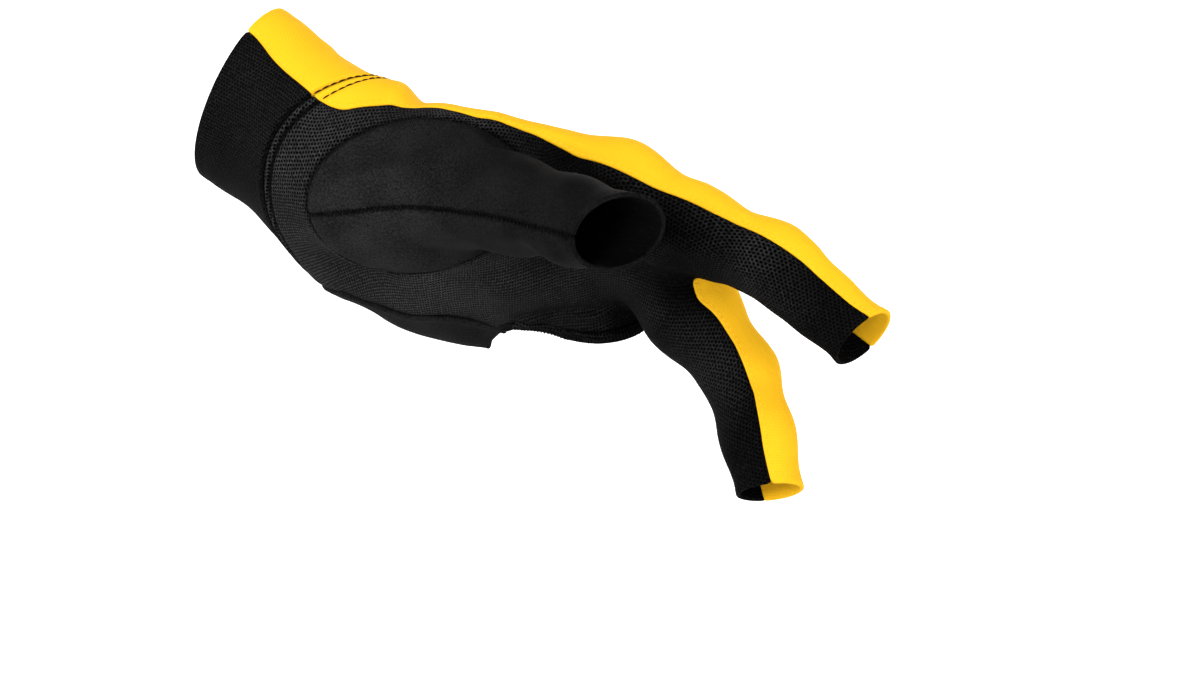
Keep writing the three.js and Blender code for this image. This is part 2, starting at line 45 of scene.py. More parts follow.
# The worn shell. The real glove is a thin stretch knit that takes the shape of the hand in it.
# Its skin is built here once, as oval forms hulled between sections and wrapped in one surface,
# and every panel below is cut from that skin. Lengths are in millimetres until a piece is made.

SHELL_GRID = 0.72
SHELL_ROUNDS = 7
# Middle, half width and half thickness
SECTIONS = {
    "forearm": ((-36, 15, 25), 28, 20),
    "edge": ((2.6, 0, -0.8), 26, 19.3),
    "wrist": ((26.6, -9, -19.9), 28.1, 20.1),
    "palm_low": ((38.5, -14, -21.2), 26.7, 14.2),
    "palm_mid": ((55.2, -18, -34.6), 39.4, 15),
    "palm_high": ((76.9, -21, -40.1), 37.5, 13),
    "knuckles": ((92.3, -24, -40.3), 35.4, 11.9),
    "heel": ((31.9, 2, -43.1), 12.8, 12.8),
    "hand_edge": ((63.7, 8, -53.9), 10.3, 10.3),
    "little_knuckle": ((88, 6, -55.8), 10.5, 10.5),
    "little_finger": ((79.4, 6, -84.3), 9.2, 9.2),
    "ring_knuckle": ((101, -8, -50), 11.5, 11.5),
    "ring_finger": ((104, -6, -86), 10, 10),
    "index_root": ((50, -30, -21), 8.7, 8.7),
    "index_knuckle": ((104.3, -42, -27.1), 12, 12),
    "index_first": ((123.1, -48.5, -38.8), 11.8, 11.8),
    "index_joint": ((144.5, -55, -46.5), 9.1, 9.1),
    "index_end": ((172.7, -64, -71.3), 8.8, 8.8),
    "index_tip": ((178, -70, -76.5), 8, 8),
    "middle_root": ((50, -18, -24), 11, 11),
    "middle_knuckle": ((110.5, -26, -39.4), 13, 13),
    "middle_first": ((123.5, -29, -59.2), 12.1, 12.1),
    "middle_joint": ((136.7, -32, -76.5), 9.2, 9.2),
    "middle_second": ((141.1, -37, -92.7), 8.8, 8.8),
    "middle_tip": ((148.3, -44, -125.9), 9.4, 9.4),
    "thumb_root": ((34, -26, -26), 18, 16),
    "thumb_knuckle": ((65.7, -50, -27.7), 13.3, 11.9),
    "thumb_first": ((77.7, -65, -33.3), 11.3, 10.4),
    "thumb_joint": ((91.7, -78, -36.6), 9.9, 9.5),
    "thumb_tip": ((108.2, -101, -41.9), 11.3, 10.8),
}
# Each limb's bones run from section to section, in this order
BONES = [
    ("arm", ("forearm", "edge", "wrist")),
    ("hand", ("wrist", "palm_low", "palm_mid", "palm_high", "knuckles")),
    ("hand", ("index_root", "index_knuckle")),
    ("hand", ("middle_root", "middle_knuckle")),
    ("hand", ("heel", "hand_edge", "little_knuckle")),
    ("little", ("little_knuckle", "little_finger")),
    ("ring", ("ring_knuckle", "ring_finger")),
    ("index", ("index_knuckle", "index_first", "index_joint", "index_end", "index_tip")),
    ("middle", ("middle_knuckle", "middle_first", "middle_joint", "middle_second", "middle_tip")),
    ("thumb", ("thumb_root", "thumb_knuckle", "thumb_first", "thumb_joint", "thumb_tip")),
]
# Which way a limb is wide, and how softly it joins the others
ACROSS = {
    "arm": (-0.22, 0.65, -0.73),
    "hand": (-0.22, 0.76, -0.61),
    "little": (-0.3, 0.9, -0.2),
    "ring": (-0.3, 0.9, -0.2),
    "index": (0.1, 0.95, -0.3),
    "middle": (-0.35, 0.9, -0.2),
    "thumb": (-0.2, -0.45, -0.87),
}
BLEND = {"arm": 10, "hand": 12, "little": 8, "ring": 13, "index": 7, "middle": 7, "thumb": 9}
# Folds: from, to, rise (a crease is negative), reach
FOLDS = [
    ((43.5, -37, -1), (46, -22, 3), 0.7, 3.2),
    ((51, -38, -3), (52, -22, -0.5), -0.7, 2.6),
    ((66, -52, -8), (74, -55, -13), -4, 3.8),
    ((74, -55, -13), (90, -54, -21), -5, 4.4),
    ((33, -27, -45), (61, -37, -46.5), 2.6, 6.5),
    ((73, -69, -46), (79, -73, -47), -3, 6),
    ((28, -41, -20.6), (43, -48, -17), -1.1, 3.4),
    ((43, -48, -17), (52, -52, -16), -0.8, 3.4),
    ((40, -43, -11.5), (56, -50, -9.2), 0.6, 3),
    ((78, -19, -61), (104, -24.5, -58.2), -1, 2.4),
    ((79, -17, -63), (105, -24, -60.6), 0.8, 2),
    ((70, -28, -56), (92, -31, -53), 0.6, 4),
    ((117, -56, -47), (127, -57, -51), -3.2, 5),
    ((23.7, -11.9, 13.7), (27.4, 7.8, 1.0), 0.5, 3.5),
    ((28.6, -10.1, 10.2), (32.7, 7.4, -3.3), -0.5, 3),
    ((82.1, -28.6, -12.4), (88.9, -16.6, -20.5), 0.6, 4),
    ((99.9, -34.3, -14.6), (105.3, -23.3, -22.8), -0.7, 4),
    ((7.8, -9.0, 25.0), (15.2, 13.1, 11.3), 0.45, 3.5),
    ((123.9, -46.0, -24.3), (126.9, -41.0, -27.6), -0.6, 3),
    ((49.3, -10.2, -4.5), (67.3, -8.2, -19.5), 0.5, 5),
    ((113.5, -9.9, -39.5), (117.6, -12.5, -45.9), -0.6, 4),
    ((3.0, 10.0, 23.7), (6.4, 20.8, 8.4), -0.4, 3),
    ((117.5, -49, -51), (122.5, -49, -51.5), -2.3, 5),
    ((133, -58, -53.5), (136, -58, -54), -0.2, 6),
    ((146, -61, -60.5), (151, -62, -63), 1.3, 7),
    ((157, -58, -44), (164, -61, -50), 0.7, 5),
    ((101, -22, -57), (72, -26, -50), 0.8, 5),
    ((108, -20, -62), (80, -16, -59), -0.9, 4),
    ((58, -30, -50), (84, -38, -46), -0.8, 4.5),
    ((131, -42, -76), (141, -43, -78), -0.6, 3),
    ((129, -60, -47), (136, -61, -38), -0.6, 3),
    ((86, -88, -29), (88, -88, -45), -0.6, 3),
]


def unit(v):
    v = np.asarray(v, float)
    return v / np.linalg.norm(v, axis=-1, keepdims=True)


class TaperedBone:
    """An oval form that tapers between two sections."""

    def __init__(self, limb, start, end):
        self.limb = limb
        self.start = np.array(start[0], float)
        line = np.array(end[0], float) - self.start
        self.length = np.linalg.norm(line)
        self.along = line / self.length
        across = np.array(ACROSS[limb], float)
        self.across = unit(across - self.along * (across @ self.along))
        self.back = unit(np.cross(self.across, self.along))
        self.wide = (start[1], end[1])
        self.thick = (start[2], end[2])

    def distance(self, p):
        q = p - self.start
        run = q @ self.along
        t = np.clip(run / self.length, 0, 1)
        wide = self.wide[0] + (self.wide[1] - self.wide[0]) * t
        thick = self.thick[0] + (self.thick[1] - self.thick[0]) * t
        a = (q @ self.across) / wide
        b = (q @ self.back) / thick
        c = (run - t * self.length) / thick
        reach = np.sqrt(a * a + b * b + c * c)
        slope = np.sqrt((a / wide) ** 2 + (b / thick) ** 2 + (c / thick) ** 2) + 1e-12
        return reach * (reach - 1) / slope


def blended(a, b, reach):
    share = np.maximum(reach - np.abs(a - b), 0) / reach
    return np.minimum(a, b) - share * share * reach * 0.25


bones = [
    TaperedBone(limb, SECTIONS[a], SECTIONS[b])
    for limb, names in BONES
    for a, b in zip(names, names[1:])
]


def limb_distance(limbs, p):
    near = np.full(len(p), 1e3)
    for bone in bones:
        if bone.limb in limbs:
            near = blended(near, bone.distance(p), BLEND[bone.limb])
    return near


def line_distance(start, end, p):
    start = np.array(start, float)
    line = np.array(end, float) - start
    t = np.clip((p - start) @ line / (line @ line), 0, 1)
    return np.linalg.norm(p - start - t[:, None] * line, axis=1)


def form_distance(p):
    near = limb_distance(BLEND, p)
    for start, end, rise, reach in FOLDS:
        near = near - rise * np.exp(-((line_distance(start, end, p) / reach) ** 2))
    return near


def form_slope(p, step=0.05):
    ends = np.array([(1, 1, 1), (1, -1, -1), (-1, 1, -1), (-1, -1, 1)], float)
    total = np.zeros_like(p)
    middle = np.zeros(len(p))
    for end in ends:
        value = form_distance(p + end * step)
        total += value[:, None] * end
        middle += value
    return total / (4 * step), middle / 4


def onto_form(p, rounds=1):
    for _ in range(rounds):
        slope, value = form_slope(p)
        p = p - slope * (value / (slope * slope).sum(1))[:, None]
    return p


def form_normals(p):
    return unit(form_slope(p)[0])


def oval(name, bone, centre, side):
    """A smooth ball set at a section and drawn out to its half width and half thickness."""
    turn = Matrix((bone.across, bone.along, bone.back)).transposed().to_euler()
    drawn_out = (bone.wide[side], bone.thick[side], bone.thick[side])
    bpy.ops.mesh.primitive_uv_sphere_add(
        segments=32, ring_count=18, radius=1, location=centre, rotation=turn, scale=drawn_out
    )
    made = bpy.context.object
    made.name = name
    return made


def hull(parts):
    """Joins two ovals into one tapered form, as a skin pulled tight over both."""
    bpy.ops.object.select_all(action="DESELECT")
    for part in parts:
        part.select_set(True)
    bpy.context.view_layer.objects.active = parts[0]
    bpy.ops.object.join()
    bpy.ops.object.mode_set(mode="EDIT")
    bpy.ops.mesh.select_all(action="SELECT")
    bpy.ops.mesh.convex_hull()
    bpy.ops.object.mode_set(mode="OBJECT")
    return bpy.context.object


forms = []
for number, bone in enumerate(bones):
    ends = (bone.start, bone.start + bone.along * bone.length)
    forms.append(hull([oval(f"oval_{number}_{side}", bone, ends[side], side) for side in (0, 1)]))
bpy.ops.object.select_all(action="DESELECT")
for form in forms:
    form.select_set(True)
bpy.context.view_layer.objects.active = forms[0]
bpy.ops.object.join()
form = bpy.context.object
bpy.ops.object.transform_apply(location=True, rotation=True, scale=True)
wrap = form.modifiers.new("wrap", "REMESH")
wrap.mode = "VOXEL"
wrap.voxel_size = SHELL_GRID
bpy.ops.object.modifier_apply(modifier="wrap")

skin_points = np.empty(len(form.data.vertices) * 3)
form.data.vertices.foreach_get("co", skin_points)
skin_points = skin_points.reshape(-1, 3)
skin_quads = np.empty(len(form.data.polygons) * 4, int)
assert len(form.data.loops) == len(skin_quads)
form.data.loops.foreach_get("vertex_index", skin_quads)
skin_quads = skin_quads.reshape(-1, 4)
bpy.data.objects.remove(form)


def evened(p, edges, count, share=0.6):
    a, b = edges.T
    total = np.stack([np.bincount(a, q[b], len(p)) + np.bincount(b, q[a], len(p)) for q in p.T], axis=1)
    return p + (total / count[:, None] - p) * share


skin_edges = np.sort(np.concatenate([skin_quads[:, [k, (k + 1) % 4]] for k in range(4)]), axis=1)
skin_edges = np.unique(skin_edges, axis=0)
edge_count = np.bincount(skin_edges.ravel(), minlength=len(skin_points)).astype(float)
for _ in range(SHELL_ROUNDS):
    skin_points = evened(skin_points, skin_edges, edge_count)
    skin_points = onto_form(skin_points)
skin_points = onto_form(skin_points)


def halves(p, quads):
    """Two triangles from each four corners, across the shorter diagonal."""
    a, b, c, d = quads.T
    short = np.linalg.norm(p[a] - p[c], axis=1) < np.linalg.norm(p[b] - p[d], axis=1)
    first = np.where(short[:, None], np.stack([a, b, c], 1), np.stack([a, b, d], 1))
    second = np.where(short[:, None], np.stack([a, c, d], 1), np.stack([b, c, d], 1))
    return np.concatenate([first, second])


skin = halves(skin_points, skin_quads)


# Where the panels meet. The pattern pieces are cut by these lines: a signed distance each, and the
# seam or the open end lies where it is zero. The tables follow the seams over the worn hand.

BACK_SEAM = [
    # x, y, z, lean
    (-20, -10, 52, 1.1), (-8, -17, 32, 1.1), (2.7, -21, 16.8, 1.1),
    (5.2, -22, 14.4, 1.1), (9.7, -25, 9.3, 1.1), (16.3, -29, 3.4, 1.1),
    (22.3, -33, -2, 1.05), (26.1, -35, -4.2, 1.05), (29.6, -36.5, -5.4, 1),
    (31.4, -37, -5.1, 1), (35.5, -37.7, -4.4, 1), (42.7, -37.7, -4.1, 0.9),
    (50.5, -40.2, -4.8, 0.9), (58.5, -46.4, -5.6, 0.85), (67.1, -49.9, -6.4, 0.8),
    (72.3, -50.7, -7.6, 0.8), (81.7, -51.7, -11.6, 0.75), (88.3, -53, -15, 0.7),
    (102, -54.8, -21.7, 0.6), (114.6, -56.3, -27.8, 0.5), (128.2, -60.4, -33.8, 0.4),
    (136.7, -60.8, -37.5, 0.4), (145, -64.9, -42.2, 0.4), (152.3, -65.1, -47.3, 0.4),
    (159, -66.8, -53.6, 0.4), (163.4, -68.2, -57.5, 0.4), (172, -70, -63.5, 0.4),
]
MIDDLE_SEAM = [
    # z, y, x
    (-120, -51, 147.7), (-105, -48.7, 144.3), (-95.8, -47.8, 142.2),
    (-88.2, -46.6, 141.1), (-81.2, -43.5, 140), (-75, -42.7, 137.7),
    (-68.3, -41, 134.9), (-61.2, -41.2, 130.6), (-53.8, -42.3, 126.7),
    (-50.2, -44, 123.2), (-42, -44, 114),
]
MIDDLE_LEAN, MIDDLE_REACH = 0.15, 10
# Between the fingers the yellow starts higher than either seam alone would put it
CROTCH_AT, CROTCH_REACH, CROTCH_LIFT = (125.8, -46, -49.5), 7.5, 10.5
THUMB_OVAL = {"x": 49.6, "z": -28.9, "long": 29.9, "tall": 20.6, "tilt": 0.1, "depth": -22}
THUMB_SLEEVE = [
    (((64, -54, -29), 14.5, 14.5), ((91, -79, -36), 14, 14)),
    (((91, -79, -36), 14, 14), ((112, -106, -44), 15, 15)),
]
THUMB_BLEND = 6
THUMB_SEAM = [
    # x, z
    (15, -34), (26.9, -33.7), (34, -33.1), (39.7, -32.6),
    (48.2, -32.4), (58.6, -33.4), (69, -35.1), (75.7, -36.6),
    (82.3, -38.5), (90.8, -40.9), (110, -46),
]
EDGE_STRIP = [
    # x, y, z
    (0, 2, -60), (20, 1, -56), (22.1, 0, -53.2),
    (27.9, -4, -54.4), (33.4, -4, -57.1), (38.5, -6, -58.6),
    (45.7, -8, -61.1), (56.4, -10, -61.5), (66.9, -10, -63.5),
    (72.6, -11, -64.5), (90, -12, -68),
]
STRIP_LEAN, STRIP_END = -0.75, 98
SIDE_OPENING = [
    # x, y, z
    (61, 6, -84), (68, 2, -72), (68.8, -3, -68),
    (71.5, -9, -65.5), (75.2, -13, -64.3), (80.1, -13, -65.2),
    (89.1, -11, -66.7), (98, -17, -68.4), (104.6, -19, -68.2),
    (109.9, -19, -67.1), (114.9, -21, -66.4), (120, -22, -68),
]
OPENING_LEAN, OPENING_CLEARANCE, OPENING_BLEND = -0.45, -1, 7
HEM_WIDTH, HEM_START = 3, 71.8
# A point of the cuff seam, the way it runs, the way it faces, and its bow
CUFF_AT, CUFF_RUN = (14.9, -23.5, -12.4), (0.52, -0.31, 0.8)
CUFF_FACING, CUFF_BOW = (0.65, -0.467, -0.6), 0.0075


def along_rows(rows, at, column):
    table = np.array(rows, float)
    return np.interp(at, table[:, 0], table[:, column])


def flat(point, facing):
    point, facing = np.array(point, float), unit(facing)
    return lambda p: (p - point) @ facing


def cuff_line(p):
    run = flat(CUFF_AT, CUFF_RUN)(p)
    return flat(CUFF_AT, CUFF_FACING)(p) - CUFF_BOW * run**2


def past_seam(p, rows, at, up, lean):
    """How far p lies past a seam, whose rows give the two other coordinates by the one called at."""
    level = p[:, up] - along_rows(rows, p[:, at], 2)
    return (level + lean * (p[:, 1] - along_rows(rows, p[:, at], 1))) / np.hypot(1, lean)


def back_line(p):
    hand = past_seam(p, BACK_SEAM, 0, 2, along_rows(BACK_SEAM, p[:, 0], 3))
    middle = past_seam(p, MIDDLE_SEAM, 2, 0, MIDDLE_LEAN)
    others = np.minimum(limb_distance(("index",), p), limb_distance(("hand",), p))
    share = np.clip(0.5 + (others - limb_distance(("middle",), p)) / MIDDLE_REACH, 0, 1)
    near = np.linalg.norm(p - CROTCH_AT, axis=1) / CROTCH_REACH
    return hand + (middle - hand) * share + CROTCH_LIFT * np.exp(-near * near)


sleeve_bones = [TaperedBone("thumb", start, end) for start, end in THUMB_SLEEVE]


def thumb_line(p):
    cos, sin = math.cos(THUMB_OVAL["tilt"]), math.sin(THUMB_OVAL["tilt"])
    dx, dz = p[:, 0] - THUMB_OVAL["x"], p[:, 2] - THUMB_OVAL["z"]
    a = (dx * cos + dz * sin) / THUMB_OVAL["long"]
    b = (-dx * sin + dz * cos) / THUMB_OVAL["tall"]
    reach = np.hypot(a, b)
    slope = np.hypot(a / THUMB_OVAL["long"], b / THUMB_OVAL["tall"]) + 1e-12
    patch = np.maximum(reach * (reach - 1) / slope, p[:, 1] - THUMB_OVAL["depth"])
    sleeve = np.minimum(*[bone.distance(p) for bone in sleeve_bones])
    return blended(patch, sleeve, THUMB_BLEND)


def thumb_middle_line(p):
    return p[:, 2] - along_rows(THUMB_SEAM, p[:, 0], 1)


def strip_line(p):
    return np.maximum(past_seam(p, EDGE_STRIP, 0, 2, STRIP_LEAN), p[:, 0] - STRIP_END)


def opening_line(p):
    above = past_seam(p, SIDE_OPENING, 0, 2, OPENING_LEAN)
    others = np.minimum(limb_distance(("ring",), p), limb_distance(("little",), p))
    beside = (limb_distance(("middle",), p) - others) / 2 - OPENING_CLEARANCE
    return -blended(-above, beside, OPENING_BLEND)


def end_line(centre, facing, reach):
    beyond = flat(centre, facing)
    return lambda p: np.maximum(-beyond(p), np.linalg.norm(p - np.array(centre, float), axis=1) - reach)


LINES = {
    "wrist_end": flat((-8.1, -13, -4), (0.831, -0.227, -0.508)),
    "thumb_end": end_line((96.5, -94.2, -42.8), (0.15, -0.87, -0.47), 27),
    "index_end": end_line((165.5, -65, -67.2), (0.636, -0.39, -0.665), 22),
    "middle_end": end_line((143.6, -41, -107.9), (0.103, -0.3, -0.948), 27),
    "opening": opening_line,
    "cuff": cuff_line,
    "back": back_line,
    "thumb": thumb_line,
    "thumb_middle": thumb_middle_line,
    "hem": lambda p: np.maximum(opening_line(p) - HEM_WIDTH, HEM_START - p[:, 0]),
    "strip": strip_line,
}
LINE_NAMES = list(LINES)


def split(p, faces, value, near=0.02):
    """Cuts faces where the value is zero: all points, the faces on its positive side, the others."""
    side = np.where(np.abs(value) < near, 0, np.sign(value)).astype(int)
    sides = side[faces]
    whole_positive = sides.min(1) >= 0
    whole_negative = (sides.max(1) <= 0) & ~whole_positive
    mixed, s = faces[~(whole_positive | whole_negative)], sides[~(whole_positive | whole_negative)]
    rows = np.arange(len(mixed))
    lone = np.where((s == 0).any(1), (s == 0).argmax(1), (s == -np.sign(s.sum(1))[:, None]).argmax(1))
    o, a, b = (mixed[rows, (lone + k) % 3] for k in range(3))
    touching = side[o] == 0
    ab, oa, ob = np.stack([a, b], 1), np.stack([o, a], 1), np.stack([o, b], 1)
    pairs = np.concatenate([ab[touching], oa[~touching], ob[~touching]])
    keys, which = np.unique(np.sort(pairs, axis=1), axis=0, return_inverse=True)
    which = which.ravel() + len(p)
    t = value[keys[:, 0]] / (value[keys[:, 0]] - value[keys[:, 1]])
    added = p[keys[:, 0]] + (p[keys[:, 1]] - p[keys[:, 0]]) * t[:, None]
    p = np.concatenate([p, added])
    n = touching.sum()
    m = len(mixed) - n
    single, first, second = which[:n], which[n:n + m], which[n + m:]
    o1, a1, b1 = o[touching], a[touching], b[touching]
    o2, a2, b2 = o[~touching], a[~touching], b[~touching]
    ring = halves(p, np.stack([first, a2, b2, second], 1))
    ring_side = np.concatenate([side[a2], side[a2]])
    tips = np.stack([o2, first, second], 1)
    left, right = np.stack([o1, a1, single], 1), np.stack([o1, single, b1], 1)
    made = np.concatenate([left, right, tips, ring])
    made_side = np.concatenate([side[a1], side[b1], side[o2], ring_side])
    positive = np.concatenate([faces[whole_positive], made[made_side > 0]])
    negative = np.concatenate([faces[whole_negative], made[made_side < 0]])
    return p, positive, negative


def largest(p, faces):
    """The largest connected set of faces."""
    label = np.arange(len(p))
    edges = np.concatenate([faces[:, [0, 1]], faces[:, [1, 2]]])
    while True:
        low = np.minimum(label[edges[:, 0]], label[edges[:, 1]])
        before = label.copy()
        np.minimum.at(label, edges[:, 0], low)
        np.minimum.at(label, edges[:, 1], low)
        label = label[label]
        if (label == before).all():
            break
    of_face = label[faces[:, 0]]
    names, count = np.unique(of_face, return_counts=True)
    return faces[of_face == names[count.argmax()]]


def cut(faces, line):
    global skin_points
    value = np.zeros(len(skin_points))
    used = np.unique(faces)
    value[used] = LINES[line](skin_points[used])
    before = len(skin_points)
    skin_points, positive, negative = split(skin_points, faces, value)
    skin_points[before:] = onto_form(skin_points[before:])
    return positive, negative


worn = skin
for line in ("wrist_end", "thumb_end", "index_end", "middle_end", "opening"):
    worn, _ = cut(worn, line)
worn = largest(skin_points, worn)
hand_part, cuff_part = cut(worn, "cuff")
cuff_back_faces, cuff_front_faces = cut(cuff_part, "back")
round_thumb, thumb_part = cut(hand_part, "thumb")
thumb_upper_faces, thumb_lower_faces = cut(thumb_part, "thumb_middle")
below_hem, hem_faces = cut(round_thumb, "hem")
main_part, strip_faces = cut(below_hem, "strip")
back_faces, palm_faces = cut(main_part, "back")


# The cuff. Two panels, black mesh knit on the palm side and smooth yellow knit on the back, joined
# by a seam on each side. Its free edge is turned under, and it is sewn to the hand with two rows.

# Wall, radius of the rolled edge, steps round it, spacing of the traced border, reach of the tidied
# faces beside it, and rounds that smooth it
KNIT, ROLL, RIM_STEPS, SAMPLE, SNAP, BORDER_ROUNDS = 1.2, 0.4, 5, 0.2, 0.22, 4
FLAT_FACES = 7000
# The depth at which a seam counts as fully drawn in and its groove fully darkened by painted shade,
# how far out the cloth is felt for things that shelter it, the openness where the painted shade in
# hollows starts to lift and its span, and how a bent finger's length counts
DRAWN_FULL, SHADE_REACHES, SHADE_FROM, SHADE_SPAN = 0.5, (5, 12, 22), 0.45, 0.5
BEND_SHARE, BEND_FROM = 0.6, -60


class Panel:
    """One cloth panel: its outer skin inside a rolled edge, and where its border lies."""

    def __init__(self, name, faces, lines, relief, thickness=KNIT):
        self.name, self.lines, self.thickness = name, lines, thickness
        faces = largest(skin_points, faces)
        used, flat_faces = np.unique(faces, return_inverse=True)
        p, faces = skin_points[used], flat_faces.reshape(-1, 3)
        self.trace_border(p, faces)
        away, nearest = self.to_border(p)
        close = np.abs(away - ROLL) < SNAP
        spot = self.samples[nearest[close]]
        p[close] = spot + (p[close] - spot) * (ROLL / np.maximum(away[close], 1e-6))[:, None]
        p[close] = onto_form(p[close])
        away[close] = ROLL
        p, faces, _ = split(p, faces, away - ROLL, 1e-6)
        p, faces = part_fans(p, faces)
        faces = largest(p, faces)
        used, flat_faces = np.unique(faces, return_inverse=True)
        p, faces = p[used], flat_faces.reshape(-1, 3)
        self.edges, self.loops = border_loops(p, faces)
        for loop in self.loops:
            kind = self.sample_kind[self.to_border(p[loop])[1]]
            corner = (kind != np.roll(kind, 1)) | (kind != np.roll(kind, -1))
            free = loop[~corner]
            before, after = np.roll(loop, 1)[~corner], np.roll(loop, -1)[~corner]
            for _ in range(BORDER_ROUNDS):
                p[free] = p[free] * 0.5 + (p[before] + p[after]) * 0.25
        rim = np.concatenate(self.loops)
        p[rim] = onto_form(p[rim])
        self.faces = faces
        self.normals = form_normals(p)
        away, nearest = self.to_border(p)
        self.away, self.kind, self.run = away, self.sample_kind[nearest], self.sample_run[nearest]
        self.base = p
        self.height = relief(self)
        self.points = p + self.normals * self.height[:, None]

    def trace_border(self, p, faces):
        _, loops = border_loops(p, faces)
        spots, kinds, runs = [], [], []
        for loop in loops:
            start, end = p[loop], p[np.roll(loop, -1)]
            middle = (start + end) / 2
            value = np.stack([np.abs(LINES[line](middle)) for line in self.lines])
            kind = np.array([LINE_NAMES.index(line) for line in self.lines])[value.argmin(0)]
            length = np.linalg.norm(end - start, axis=1)
            run = np.concatenate([[0], np.cumsum(length)])
            steps = np.arange(0, run[-1], SAMPLE)
            at = np.searchsorted(run, steps, side="right") - 1
            at = np.clip(at, 0, len(loop) - 1)
            t = (steps - run[at]) / np.maximum(length[at], 1e-9)
            spots.append(start[at] + (end[at] - start[at]) * t[:, None])
            kinds.append(kind[at])
            runs.append(steps)
        self.samples = np.concatenate(spots)
        self.sample_kind = np.concatenate(kinds)
        self.sample_run = np.concatenate(runs)

    def to_border(self, p, kinds=None):
        pick = np.arange(len(self.samples))
        if kinds is not None:
            pick = pick[np.isin(self.sample_kind, [LINE_NAMES.index(kind) for kind in kinds])]
        tree = KDTree(len(pick))
        for number, n in enumerate(pick):
            tree.insert(self.samples[n], number)
        tree.balance()
        found = [tree.find(q) for q in p]
        return np.array([f[2] for f in found]), pick[[f[1] for f in found]]


def border_edges(p, faces):
    directed = np.concatenate([faces[:, [0, 1]], faces[:, [1, 2]], faces[:, [2, 0]]])
    keys = directed[:, 0] * len(p) + directed[:, 1]
    back_keys = directed[:, 1] * len(p) + directed[:, 0]
    return directed[~np.isin(back_keys, keys)]


def border_loops(p, faces):
    border = border_edges(p, faces)
    following = {}
    for a, b in border.tolist():
        following.setdefault(a, []).append(b)
    loops = []
    while following:
        start = next(iter(following))
        loop, at = [], start
        while at in following:
            loop.append(at)
            ends = following[at]
            onward = ends.pop()
            if not ends:
                del following[at]
            at = onward
        loops.append(np.array(loop))
    return border, [loop for loop in loops if len(loop) > 2]


def part_fans(p, faces):
    """Gives each fan of faces its own point, where two parts of a border meet at one."""
    border = border_edges(p, faces)
    names, count = np.unique(border[:, 0], return_counts=True)
    faces = faces.copy()
    for a in names[count > 1]:
        left = set(np.nonzero((faces == a).any(1))[0].tolist())
        fans = []
        while left:
            fan = [left.pop()]
            for n in fan:
                for m in list(left):
                    if len(set(faces[n]) & set(faces[m])) > 1:
                        fan.append(m)
                        left.discard(m)
            fans.append(fan)
        for fan in fans[1:]:
            p = np.concatenate([p, p[a][None]])
            for n in fan:
                faces[n][faces[n] == a] = len(p) - 1
    return p, faces


def dip(distance, at, reach):
    return np.exp(-(((distance - at) / reach) ** 2))


def flatten(panel, towards):
    """Lays the panel out flat as its pattern piece, in millimetres, with its length along towards."""
    mesh = bpy.data.meshes.new(panel.name + "_flat")
    mesh.from_pydata(panel.base.tolist(), [], panel.faces.tolist())
    made = bpy.data.objects.new(panel.name + "_flat", mesh)
    bpy.context.collection.objects.link(made)
    bpy.ops.object.select_all(action="DESELECT")
    made.select_set(True)
    bpy.context.view_layer.objects.active = made
    fewer = made.modifiers.new("fewer", "DECIMATE")
    fewer.ratio = min(1, FLAT_FACES / len(panel.faces))
    bpy.ops.object.modifier_apply(modifier="fewer")
    bpy.ops.object.mode_set(mode="EDIT")
    bpy.ops.mesh.select_all(action="SELECT")
    bpy.ops.mesh.quads_convert_to_tris()
    bpy.ops.uv.unwrap(method="MINIMUM_STRETCH", margin=0)
    bpy.ops.object.mode_set(mode="OBJECT")
    mesh = made.data
    rough = np.array([v.co for v in mesh.vertices])
    corners = np.array([p.vertices for p in mesh.polygons])
    drawn = np.empty(len(mesh.loops) * 2)
    mesh.uv_layers.active.data.foreach_get("uv", drawn)
    drawn = drawn.reshape(-1, 3, 2)
    tree = BVHTree.FromPolygons(rough.tolist(), corners.tolist())
    bpy.data.objects.remove(made)
    found = [tree.find_nearest(q) for q in panel.base]
    face = np.array([f[2] for f in found])
    spot = np.array([f[0] for f in found])
    a, b, c = (rough[corners[face, k]] for k in range(3))
    normal = np.cross(b - a, c - a)
    area = (normal * normal).sum(1)
    wa = (np.cross(b - spot, c - spot) * normal).sum(1) / area
    wb = (np.cross(c - spot, a - spot) * normal).sum(1) / area
    weight = np.stack([wa, wb, 1 - wa - wb], 1)
    laid = (drawn[face] * weight[:, :, None]).sum(1)
    a, b, c = (panel.base[panel.faces[:, k]] for k in range(3))
    u, v, w = (laid[panel.faces[:, k]] for k in range(3))
    real = np.linalg.norm(np.cross(b - a, c - a), axis=1)
    flat_area = np.abs((v - u)[:, 0] * (w - u)[:, 1] - (v - u)[:, 1] * (w - u)[:, 0])
    laid = (laid - laid.mean(0)) * math.sqrt(real.sum() / flat_area.sum())
    fit, *_ = np.linalg.lstsq(panel.base - panel.base.mean(0), laid, rcond=None)
    angle = math.atan2(*(unit(towards) @ fit)[::-1])
    turn = np.array([[math.cos(angle), -math.sin(angle)], [math.sin(angle), math.cos(angle)]])
    return laid @ turn


